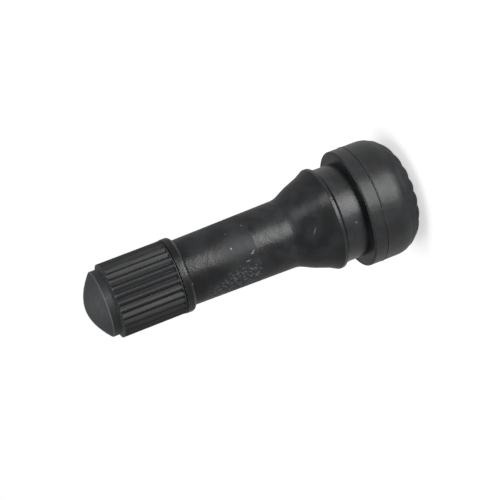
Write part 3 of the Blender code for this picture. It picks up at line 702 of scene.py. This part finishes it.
colour = add_node(tree, 'ShaderNodeMix', {0: tarnish, 6: linear(BRASS_YELLOW), 7: linear(BRASS_TARNISH)},
                  data_type='RGBA')
roughness = add_node(tree, 'ShaderNodeMapRange', {"Value": tarnish, "To Min": 0.24, "To Max": 0.42})
surface = add_node(tree, 'ShaderNodeBsdfPrincipled', {
    "Base Color": colour.outputs[2], "Metallic": 1.0, "Roughness": roughness, "Normal": tool_marks})
add_node(tree, 'ShaderNodeOutputMaterial', {"Surface": surface})

stem_corners = [
    (THREAD_RADIUS - TIP_CHAMFER, STEM_TIP, EDGE_ROUND),
    *straight_run(THREAD_RADIUS, STEM_TIP - TIP_CHAMFER, THREAD_FOOT),
    (SHANK_RADIUS, THREAD_FOOT, 0.0),
    *grip_grooves(SHANK_RADIUS),
    (SHANK_RADIUS, FOOT_FLANGE_Z + FOOT_FLANGE_THICKNESS, 0.0),
    (FOOT_FLANGE_RADIUS, FOOT_FLANGE_Z + FOOT_FLANGE_THICKNESS, EDGE_ROUND),
    (FOOT_FLANGE_RADIUS, FOOT_FLANGE_Z, EDGE_ROUND),
    (STEM_BORE_RADIUS, FOOT_FLANGE_Z, EDGE_ROUND),
    (STEM_BORE_RADIUS, CONE_FOOT, EDGE_ROUND),
    (CONE_RADIUS, CONE_TOP, EDGE_ROUND),
    *straight_run(CORE_THREAD_RADIUS, CORE_THREAD_FOOT, STEM_TIP - MOUTH_CHAMFER),
    (CONE_RADIUS + MOUTH_CHAMFER, STEM_TIP, EDGE_ROUND),
]
brass_stem = turned("threaded_brass_stem", rounded(stem_corners), even_angles(STEM_SIDES), brass)
thread_tree = make_thread_tree()
shape_with(brass_stem, thread_tree, brass, {"Pitch": THREAD_PITCH * MM, "Depth": THREAD_DEPTH * MM},
           reach=thread_reach(THREAD_RADIUS))
shape_with(brass_stem, thread_tree, brass, {"Pitch": CORE_THREAD_PITCH * MM, "Depth": CORE_THREAD_DEPTH * MM},
           reach=thread_reach(CORE_THREAD_RADIUS))
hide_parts("brass_stem")
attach(brass_stem, "stem")


# Core plug. A turned brass screw at the top of the valve core. Its head has two flats for the
# core tool, its thread holds the core down in the stem, and its spigot hangs the barrel.
PLUG_TOP = 41.65
PLUG_HEAD_RADIUS = 2.22
PLUG_HEAD_WIDTH = 2.60
PLUG_THREAD_TOP = 40.25
PLUG_CHAMFER = 0.30
PLUG_THREAD_RADIUS = 2.56
PLUG_FOOT = 37.65
PLUG_BORE_RADIUS = 0.60
SPIGOT_RADIUS = 1.30
SPIGOT_FOOT = 37.10
LEDGE_STEP = 0.01
CORE_SIDES = 96

plug_corners = [
    (PLUG_HEAD_RADIUS, PLUG_TOP, EDGE_ROUND),
    (PLUG_HEAD_RADIUS, PLUG_THREAD_TOP, 0.0),
    (PLUG_HEAD_RADIUS, PLUG_THREAD_TOP - LEDGE_STEP, 0.0),
    *straight_run(PLUG_THREAD_RADIUS, PLUG_THREAD_TOP - PLUG_CHAMFER, PLUG_FOOT),
    (SPIGOT_RADIUS, PLUG_FOOT, 0.0),
    (SPIGOT_RADIUS, SPIGOT_FOOT, EDGE_ROUND),
    (PLUG_BORE_RADIUS, SPIGOT_FOOT, 0.0),
    (PLUG_BORE_RADIUS, PLUG_TOP, EDGE_ROUND),
]
core_plug = turned("flatted_core_plug", rounded(plug_corners), even_angles(CORE_SIDES), brass)
flat = PLUG_HEAD_WIDTH / 2.0 * MM
for vertex in core_plug.data.vertices:
    if vertex.co.z > (PLUG_THREAD_TOP - LEDGE_STEP / 2.0) * MM:
        vertex.co.y = min(max(vertex.co.y, -flat), flat)
core_plug.data.set_sharp_from_angle(angle=SHARP_ANGLE)
shape_with(core_plug, thread_tree, brass, {"Pitch": CORE_THREAD_PITCH * MM, "Depth": CORE_THREAD_DEPTH * MM},
           reach=thread_reach(PLUG_THREAD_RADIUS))
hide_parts("core_plug")
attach(core_plug, "stem")


# Core barrel. A thin turned brass tube under the plug, with a collar above its washer and a
# ledge at its foot that the spring stands on.
BARREL_TOP = 37.60
COLLAR_RADIUS = 2.00
COLLAR_FOOT = 36.65
BARREL_RADIUS = 1.42
BARREL_FOOT = 28.40
LEDGE_TOP = 29.10
BARREL_BORE_RADIUS = 1.10
SOCKET_RADIUS = 1.35
SOCKET_FOOT = 37.05

barrel_corners = [
    (COLLAR_RADIUS, BARREL_TOP, EDGE_ROUND),
    (COLLAR_RADIUS, COLLAR_FOOT, EDGE_ROUND),
    (BARREL_RADIUS, COLLAR_FOOT, 0.0),
    (BARREL_RADIUS, BARREL_FOOT, EDGE_ROUND),
    (PLUG_BORE_RADIUS, BARREL_FOOT, EDGE_ROUND),
    (PLUG_BORE_RADIUS, LEDGE_TOP, 0.0),
    (BARREL_BORE_RADIUS, LEDGE_TOP, 0.0),
    (BARREL_BORE_RADIUS, SOCKET_FOOT, EDGE_ROUND),
    (SOCKET_RADIUS, SOCKET_FOOT, 0.0),
    (SOCKET_RADIUS, BARREL_TOP, EDGE_ROUND),
]
core_barrel = turned("turned_core_barrel", rounded(barrel_corners), even_angles(CORE_SIDES), brass)
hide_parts("core_barrel")
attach(core_barrel, "stem")


# Barrel washer. A tapered ring of hard red rubber round the barrel, wedged in the cone of the
# stem's bore, so that no air passes outside the core.
WASHER_TOP_RADIUS = 2.50
WASHER_FOOT_RADIUS = 1.80
WASHER_BORE_RADIUS = 1.47

# Hard washer rubber, cut from a moulded tube: dull brick red, with fine grinding dust on it.
WASHER_RED = "#93443a"
WASHER_DUST = "#b0776d"
WASHER_CRUMB = 0.12
WASHER_CRUMB_RELIEF = 0.006
WASHER_DULL = 0.62
washer_rubber, tree, spot = start_material("red_washer_rubber")
crumbs = add_node(tree, 'ShaderNodeTexNoise', {"Vector": spot, "Scale": 1.0 / WASHER_CRUMB, "Detail": 3.0})
dusting = add_node(tree, 'ShaderNodeMapRange', {
    "Value": crumbs, "From Min": 0.45, "From Max": 0.75, "To Max": 0.5})
colour = add_node(tree, 'ShaderNodeMix', {0: dusting, 6: linear(WASHER_RED), 7: linear(WASHER_DUST)},
                  data_type='RGBA')
relief = add_node(tree, 'ShaderNodeBump', {"Height": crumbs, "Distance": WASHER_CRUMB_RELIEF * MM})
surface = add_node(tree, 'ShaderNodeBsdfPrincipled', {
    "Base Color": colour.outputs[2], "Roughness": WASHER_DULL, "Normal": relief})
add_node(tree, 'ShaderNodeOutputMaterial', {"Surface": surface})

washer_corners = [
    (WASHER_TOP_RADIUS, CONE_TOP, EDGE_ROUND),
    (WASHER_FOOT_RADIUS, CONE_FOOT, EDGE_ROUND),
    (WASHER_BORE_RADIUS, CONE_FOOT, EDGE_ROUND),
    (WASHER_BORE_RADIUS, CONE_TOP, EDGE_ROUND),
]
barrel_washer = turned(
    "tapered_barrel_washer", rounded(washer_corners), even_angles(CORE_SIDES), washer_rubber)
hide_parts("barrel_washer")
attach(barrel_washer, "stem")


# Core pin. A straight steel pin through the whole core, headed with a collar above the spring
# and riveted over below the plunger's cup. Pressing its tip opens the valve.
PIN_RADIUS = 0.45
PIN_TIP_RADIUS = 0.27
PIN_TIP = 42.15
PIN_TIP_LENGTH = 0.18
PIN_COLLAR_RADIUS = 0.90
PIN_COLLAR_TOP = 36.55
PIN_COLLAR_FOOT = 36.20
RIVET_RADIUS = 0.75
RIVET_TOP = 26.95
RIVET_FOOT = 26.60
RIVET_ROUND = 0.15

# Drawn steel wire, straightened: a cool grey with faint lines along the pull of the die. The
# lines are drawn 0.08 mm apart, coarser than the real 0.02 mm, to show.
STEEL_GREY = "#b4b6b9"
DIE_LINE = 0.08
DIE_LINE_RELIEF = 0.002
DIE_STRETCH = 0.05
steel, tree, spot = start_material("drawn_steel_wire")
pulled = add_node(tree, 'ShaderNodeVectorMath', {0: spot, 1: (1.0, 1.0, DIE_STRETCH)}, operation='MULTIPLY')
die_lines = add_node(tree, 'ShaderNodeTexNoise', {"Vector": pulled, "Scale": 1.0 / DIE_LINE})
roughness = add_node(tree, 'ShaderNodeMapRange', {
    "Value": die_lines, "From Min": 0.3, "From Max": 0.7, "To Min": 0.22, "To Max": 0.36})
relief = add_node(tree, 'ShaderNodeBump', {"Height": die_lines, "Distance": DIE_LINE_RELIEF * MM})
surface = add_node(tree, 'ShaderNodeBsdfPrincipled', {
    "Base Color": linear(STEEL_GREY), "Metallic": 1.0, "Roughness": roughness, "Normal": relief})
add_node(tree, 'ShaderNodeOutputMaterial', {"Surface": surface})

pin_corners = [
    (0.0, PIN_TIP, 0.0),
    (PIN_TIP_RADIUS, PIN_TIP, EDGE_ROUND),
    (PIN_RADIUS, PIN_TIP - PIN_TIP_LENGTH, EDGE_ROUND),
    (PIN_RADIUS, PIN_COLLAR_TOP, 0.0),
    (PIN_COLLAR_RADIUS, PIN_COLLAR_TOP, EDGE_ROUND),
    (PIN_COLLAR_RADIUS, PIN_COLLAR_FOOT, EDGE_ROUND),
    (PIN_RADIUS, PIN_COLLAR_FOOT, 0.0),
    (PIN_RADIUS, RIVET_TOP, 0.0),
    (RIVET_RADIUS, RIVET_TOP, EDGE_ROUND),
    (RIVET_RADIUS, RIVET_FOOT, RIVET_ROUND),
    (0.0, RIVET_FOOT, 0.0),
]
core_pin = turned("headed_core_pin", rounded(pin_corners), even_angles(CORE_SIDES), steel)
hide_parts("core_pin")
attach(core_pin, "plunger")


# Core spring. A coil of drawn steel wire between the barrel's ledge and the pin's collar, with
# a closed turn at each end. It shortens as the pin is pressed.
SPRING_FOOT = 29.15
SPRING_TOP = 36.15
SPRING_RADIUS = 0.75
SPRING_WIRE = 0.30
SPRING_TURNS = 8.0
SPRING_END_TURNS = 1.0
SPRING_END_PITCH = 0.35
SPRING_POINTS = 320
WIRE_SIDES = 16
WIRE_SHARP_ANGLE = radians(60.0)


def make_coil_tree():
    """A coil of wire from the foot up, with closed turns at both ends and open ones between."""
    names = ("Foot", "Radius", "Wire", "Turns", "End Turns", "End Pitch", "Open Pitch")
    tree, given = make_tree("coil_spring", names)
    line = add_node(tree, 'GeometryNodeCurvePrimitiveLine')
    wire = add_node(tree, 'GeometryNodeResampleCurve', {"Curve": line, "Count": SPRING_POINTS})
    along = add_node(tree, 'GeometryNodeSplineParameter')
    turns = add_node(tree, 'ShaderNodeMath', {0: along.outputs["Factor"], 1: given.outputs["Turns"]},
                     operation='MULTIPLY')
    low = add_node(tree, 'ShaderNodeMath', {0: turns, 1: given.outputs["End Turns"]}, operation='MINIMUM')
    from_top = add_node(tree, 'ShaderNodeMath', {0: turns, 1: given.outputs["Turns"]}, operation='SUBTRACT')
    past = add_node(tree, 'ShaderNodeMath', {0: from_top, 1: given.outputs["End Turns"]}, operation='ADD')
    high = add_node(tree, 'ShaderNodeMath', {0: past, 1: 0.0}, operation='MAXIMUM')
    closed = add_node(tree, 'ShaderNodeMath', {0: low, 1: high}, operation='ADD')
    opened = add_node(tree, 'ShaderNodeMath', {0: turns, 1: closed}, operation='SUBTRACT')
    foot = add_node(tree, 'ShaderNodeMath', {
        0: closed, 1: given.outputs["End Pitch"], 2: given.outputs["Foot"]}, operation='MULTIPLY_ADD')
    height = add_node(tree, 'ShaderNodeMath', {
        0: opened, 1: given.outputs["Open Pitch"], 2: foot}, operation='MULTIPLY_ADD')
    angle = add_node(tree, 'ShaderNodeMath', {0: turns, 1: tau}, operation='MULTIPLY')
    sides = []
    for operation in ('COSINE', 'SINE'):
        side = add_node(tree, 'ShaderNodeMath', {0: angle}, operation=operation)
        sides.append(add_node(tree, 'ShaderNodeMath', {0: side, 1: given.outputs["Radius"]},
                              operation='MULTIPLY'))
    place = add_node(tree, 'ShaderNodeCombineXYZ', {"X": sides[0], "Y": sides[1], "Z": height})
    coil = add_node(tree, 'GeometryNodeSetPosition', {"Geometry": wire, "Position": place})
    section = add_node(tree, 'GeometryNodeCurvePrimitiveCircle', {
        "Resolution": WIRE_SIDES, "Radius": given.outputs["Wire"]})
    skin = add_node(tree, 'GeometryNodeCurveToMesh', {
        "Curve": coil, "Profile Curve": section, "Fill Caps": True})
    end_tree(tree, given, skin)
    return tree


core_spring = bpy.data.objects.new("coiled_core_spring", bpy.data.meshes.new("coiled_core_spring"))
bpy.context.scene.collection.objects.link(core_spring)
open_length = SPRING_TOP - SPRING_FOOT - SPRING_WIRE - 2.0 * SPRING_END_TURNS * SPRING_END_PITCH
shape_with(core_spring, make_coil_tree(), steel, {
    "Foot": (SPRING_FOOT + SPRING_WIRE / 2.0) * MM, "Radius": SPRING_RADIUS * MM,
    "Wire": SPRING_WIRE / 2.0 * MM, "Turns": SPRING_TURNS, "End Turns": SPRING_END_TURNS,
    "End Pitch": SPRING_END_PITCH * MM,
    "Open Pitch": open_length / (SPRING_TURNS - 2.0 * SPRING_END_TURNS) * MM})
core_spring.data.shade_smooth()
core_spring.data.set_sharp_from_angle(angle=WIRE_SHARP_ANGLE)
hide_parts("core_spring")
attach(core_spring, "stem")
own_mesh(core_spring)


# Plunger cup. A small turned brass cup riveted on the pin's foot. It carries the washer up
# against the barrel's end, and air pressure helps the spring to hold it there.
PLUNGER_RADIUS = 1.50
CUP_TOP = 28.10
CUP_FLOOR = 27.75
CUP_TAPER_TOP = 27.37
CUP_FOOT = 27.00
CUP_FOOT_RADIUS = 0.88
CUP_BORE_RADIUS = 0.50
CUP_RIM = 0.13
CUP_RIM_ROUND = 0.03

cup_corners = [
    (PLUNGER_RADIUS, CUP_TOP, CUP_RIM_ROUND),
    (PLUNGER_RADIUS, CUP_TAPER_TOP, EDGE_ROUND),
    (CUP_FOOT_RADIUS, CUP_FOOT, EDGE_ROUND),
    (CUP_BORE_RADIUS, CUP_FOOT, 0.0),
    (CUP_BORE_RADIUS, CUP_FLOOR, 0.0),
    (PLUNGER_RADIUS - CUP_RIM, CUP_FLOOR, 0.0),
    (PLUNGER_RADIUS - CUP_RIM, CUP_TOP, CUP_RIM_ROUND),
]
plunger_cup = turned("riveted_plunger_cup", rounded(cup_corners), even_angles(CORE_SIDES), brass)
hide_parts("plunger_cup")
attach(plunger_cup, "plunger")


# Plunger washer. A flat ring of the same red rubber, sunk in the cup, which closes the barrel's
# end when the pin is up.
PLUNGER_WASHER_RADIUS = 1.32
PLUNGER_WASHER_TOP = 28.35
PLUNGER_WASHER_FOOT = 27.80

plunger_washer_corners = [
    (PLUNGER_WASHER_RADIUS, PLUNGER_WASHER_TOP, EDGE_ROUND),
    (PLUNGER_WASHER_RADIUS, PLUNGER_WASHER_FOOT, EDGE_ROUND),
    (CUP_BORE_RADIUS, PLUNGER_WASHER_FOOT, EDGE_ROUND),
    (CUP_BORE_RADIUS, PLUNGER_WASHER_TOP, EDGE_ROUND),
]
plunger_washer = turned(
    "flat_plunger_washer", rounded(plunger_washer_corners), even_angles(CORE_SIDES), washer_rubber)
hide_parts("plunger_washer")
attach(plunger_washer, "plunger")


# Cap seal. A soft black rubber disc pushed into the cap's crown, which presses on the mouth of
# the stem when the cap is screwed down.
SEAL_RADIUS = 3.45
SEAL_TOP = 43.10
SEAL_FOOT = 42.40

# Soft nitrile rubber sheet, punched out: near black and dull, with a fine open grain. The grain is
# drawn at 0.15 mm, coarser than the real 0.05 mm, to show.
SEAL_BLACK = "#242424"
SEAL_GRAIN = 0.15
SEAL_GRAIN_RELIEF = 0.010
SEAL_DULL = 0.7
seal_rubber, tree, spot = start_material("punched_nitrile_rubber")
grain = add_node(tree, 'ShaderNodeTexNoise', {"Vector": spot, "Scale": 1.0 / SEAL_GRAIN, "Detail": 4.0})
relief = add_node(tree, 'ShaderNodeBump', {"Height": grain, "Distance": SEAL_GRAIN_RELIEF * MM})
surface = add_node(tree, 'ShaderNodeBsdfPrincipled', {
    "Base Color": linear(SEAL_BLACK), "Roughness": SEAL_DULL, "Normal": relief})
add_node(tree, 'ShaderNodeOutputMaterial', {"Surface": surface})

seal_corners = [
    (0.0, SEAL_TOP, 0.0),
    (SEAL_RADIUS, SEAL_TOP, EDGE_ROUND),
    (SEAL_RADIUS, SEAL_FOOT, EDGE_ROUND),
    (0.0, SEAL_FOOT, 0.0),
]
cap_seal = turned("punched_cap_seal", rounded(seal_corners), even_angles(CORE_SIDES), seal_rubber)
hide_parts("cap_seal")
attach(cap_seal, "seal")


# Cap. Moulded black polypropylene with straight grip grooves, a low rim at its foot and a low
# dome on a plain neck. It screws on the brass stem by the thread moulded in its bore.
CAP_FOOT = 33.18
CAP_BORE_RADIUS = 3.95
CAP_THREAD_DEPTH = 0.40
CAP_LEAD_IN = 0.25
GROOVE_COUNT = 30
GROOVE_DEPTH = 0.33
GROOVE_CURVE = 1.15
GROOVE_PHASE = 0.26
GROOVE_END = 0.20
GROOVE_SIDES = 14
CAP_RADIUS = 4.93
RIM_PROUD = 0.02
RIM_LENGTH = 0.14
RIM_ROUND = 0.06
CAP_NECK_RADIUS = 4.38
CAP_NECK_LENGTH = 1.08
CAP_NECK_ROUND = 0.15
CAP_CONE_LENGTH = 0.22
DOME_HEIGHT = 1.95
DOME_POWER = 1.9
DOME_BEVEL = 0.11
DOME_STEPS = 24
CAP_TIP = 45.0
CEILING = 43.15
POCKET_RADIUS = 3.55

RIM_TOP = CAP_FOOT + RIM_LENGTH
DOME_EDGE = CAP_TIP - DOME_HEIGHT
CAP_NECK_FOOT = DOME_EDGE - CAP_NECK_LENGTH
GROOVE_TOP = CAP_NECK_FOOT - CAP_CONE_LENGTH

# Black polypropylene, injection moulded in a spark-eroded mould: satin, a shade greyer than the
# rubber, with a fine grain, faint flow streaks along the grooves, rubbed crests between them and
# painted shade that darkens the floor of each groove. The dome comes off a coarser insert and is
# duller, and a thin painted highlight in light grey runs round its edge. The grain is drawn at
# 0.18 mm, coarser than the real 0.03 mm, to show.
CAP_BLACK = "#27282a"
CAP_RUBBED = "#46484b"
# Dark grey painted as shade in the floors of the grooves.
CAP_GROOVE_SHADE = "#131314"
CAP_DOME = "#2f3133"
# Light grey painted as a highlight on the bevel round the dome's edge.
CAP_EDGE_HIGHLIGHT = "#505255"
DOME_DULL = 0.16
CAP_IOR = 1.49
CREST_RUB = 0.10
# Share of the bevel that carries the painted highlight.
EDGE_HIGHLIGHT_SHARE = 0.6
FLOW_STREAK = 0.5
FLOW_STRETCH = 0.18
CAP_GRAIN = 0.18
CAP_GRAIN_RELIEF = 0.007
plastic, tree, spot = start_material("black_polypropylene")
across = add_node(tree, 'ShaderNodeVectorMath', {0: spot, 1: (1.0, 1.0, 0.0)}, operation='MULTIPLY')
radius_out = add_node(tree, 'ShaderNodeVectorMath', {0: across}, operation='LENGTH')
on_crest = add_node(tree, 'ShaderNodeMapRange', {
    "Value": radius_out.outputs["Value"], "From Min": CAP_RADIUS - CREST_RUB, "From Max": CAP_RADIUS})
height = add_node(tree, 'ShaderNodeSeparateXYZ', {0: spot})
grooved = add_node(tree, 'ShaderNodeMath', {0: height.outputs["Z"], 1: GROOVE_TOP}, operation='LESS_THAN')
sunk = add_node(tree, 'ShaderNodeMapRange', {
    "Value": radius_out.outputs["Value"], "From Min": CAP_RADIUS - CREST_RUB,
    "From Max": CAP_RADIUS - GROOVE_DEPTH})
groove_shade = add_node(tree, 'ShaderNodeMath', {0: sunk, 1: grooved}, operation='MULTIPLY')
flow = add_node(tree, 'ShaderNodeVectorMath', {0: spot, 1: (1.0, 1.0, FLOW_STRETCH)}, operation='MULTIPLY')
streaks = add_node(tree, 'ShaderNodeTexNoise', {"Vector": flow, "Scale": 1.0 / FLOW_STREAK, "Detail": 3.0})
worn = add_node(tree, 'ShaderNodeMapRange', {
    "Value": streaks, "From Min": 0.42, "From Max": 0.68, "To Max": 0.5}, interpolation_type='SMOOTHSTEP')
rubbed = add_node(tree, 'ShaderNodeMath', {0: worn, 1: on_crest}, operation='MULTIPLY')
clean = add_node(tree, 'ShaderNodeMix', {0: rubbed, 6: linear(CAP_BLACK), 7: linear(CAP_RUBBED)},
                 data_type='RGBA')
# Painted shade: the deep floor of each groove is mixed towards dark grey.
sides = add_node(tree, 'ShaderNodeMix', {0: groove_shade, 6: clean.outputs[2], 7: linear(CAP_GROOVE_SHADE)},
                 data_type='RGBA')
on_dome = add_node(tree, 'ShaderNodeMath', {0: height.outputs["Z"], 1: DOME_EDGE}, operation='GREATER_THAN')
# Painted highlight: a thin band on the bevel round the dome's edge is mixed towards light grey.
edge_highlight = add_node(tree, 'ShaderNodeMath', {
    0: height.outputs["Z"], 1: DOME_EDGE - DOME_BEVEL / 2.0, 2: DOME_BEVEL * EDGE_HIGHLIGHT_SHARE}, operation='COMPARE')
domed = add_node(tree, 'ShaderNodeMix', {0: on_dome, 6: sides.outputs[2], 7: linear(CAP_DOME)},
                 data_type='RGBA')
colour = add_node(tree, 'ShaderNodeMix', {0: edge_highlight, 6: domed.outputs[2], 7: linear(CAP_EDGE_HIGHLIGHT)},
                  data_type='RGBA')
gloss = add_node(tree, 'ShaderNodeMapRange', {
    "Value": streaks, "From Min": 0.3, "From Max": 0.7, "To Min": 0.40, "To Max": 0.52})
roughness = add_node(tree, 'ShaderNodeMath', {0: on_dome, 1: DOME_DULL, 2: gloss}, operation='MULTIPLY_ADD')
grain = add_node(tree, 'ShaderNodeTexNoise', {"Vector": spot, "Scale": 1.0 / CAP_GRAIN, "Detail": 3.0})
relief = add_node(tree, 'ShaderNodeBump', {"Height": grain, "Distance": CAP_GRAIN_RELIEF * MM})
surface = add_node(tree, 'ShaderNodeBsdfPrincipled', {
    "Base Color": colour.outputs[2], "Roughness": roughness, "IOR": CAP_IOR, "Normal": relief})
add_node(tree, 'ShaderNodeOutputMaterial', {"Surface": surface})

dome = []
for step in range(DOME_STEPS + 1):
    share = step / DOME_STEPS
    dome.append(((CAP_NECK_RADIUS - DOME_BEVEL) * share, CAP_TIP - DOME_HEIGHT * share ** DOME_POWER))
cap_wall = [
    (CAP_NECK_RADIUS, DOME_EDGE - DOME_BEVEL, 0.0),
    (CAP_NECK_RADIUS, CAP_NECK_FOOT, CAP_NECK_ROUND),
    *straight_run(CAP_RADIUS, GROOVE_TOP, GROOVE_TOP - GROOVE_END),
    (CAP_RADIUS, RIM_TOP + RIM_PROUD, 0.0),
    (CAP_RADIUS, RIM_TOP, 0.0),
    (CAP_RADIUS + RIM_PROUD, RIM_TOP - RIM_PROUD, 0.0),
    (CAP_RADIUS + RIM_PROUD, CAP_FOOT, RIM_ROUND),
    (CAP_BORE_RADIUS + CAP_LEAD_IN, CAP_FOOT, 0.0),
    *straight_run(CAP_BORE_RADIUS, CAP_FOOT + CAP_LEAD_IN, STEM_TIP - TIP_CHAMFER),
    (POCKET_RADIUS, STEM_TIP, 0.0),
    (POCKET_RADIUS, CEILING, 0.0),
    (0.0, CEILING, 0.0),
]
cap_angles = even_angles(GROOVE_COUNT * GROOVE_SIDES, start=GROOVE_PHASE * tau / GROOVE_COUNT)
valve_cap = turned("ribbed_cap", dome + rounded(cap_wall), cap_angles, plastic)


def groove_reach(radius, height):
    """The grooves are cut into the cap's wall, and run out in a round end below the neck."""
    if abs(radius - CAP_RADIUS) > WALL_MATCH or height < RIM_TOP + RIM_PROUD / 2.0:
        return 0.0, 0.0
    along = min((GROOVE_TOP - height) / GROOVE_END, 1.0)
    return -sin(pi / 2.0 * along), 0.0


shape_with(valve_cap, valley_tree, plastic, {
    "Count": GROOVE_COUNT, "Depth": GROOVE_DEPTH * MM, "Curve": GROOVE_CURVE, "Phase": GROOVE_PHASE},
    reach=groove_reach)
shape_with(valve_cap, thread_tree, plastic, {"Pitch": THREAD_PITCH * MM, "Depth": CAP_THREAD_DEPTH * MM},
           reach=thread_reach(CAP_BORE_RADIUS))
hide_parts("valve_cap")
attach(valve_cap, "cap")
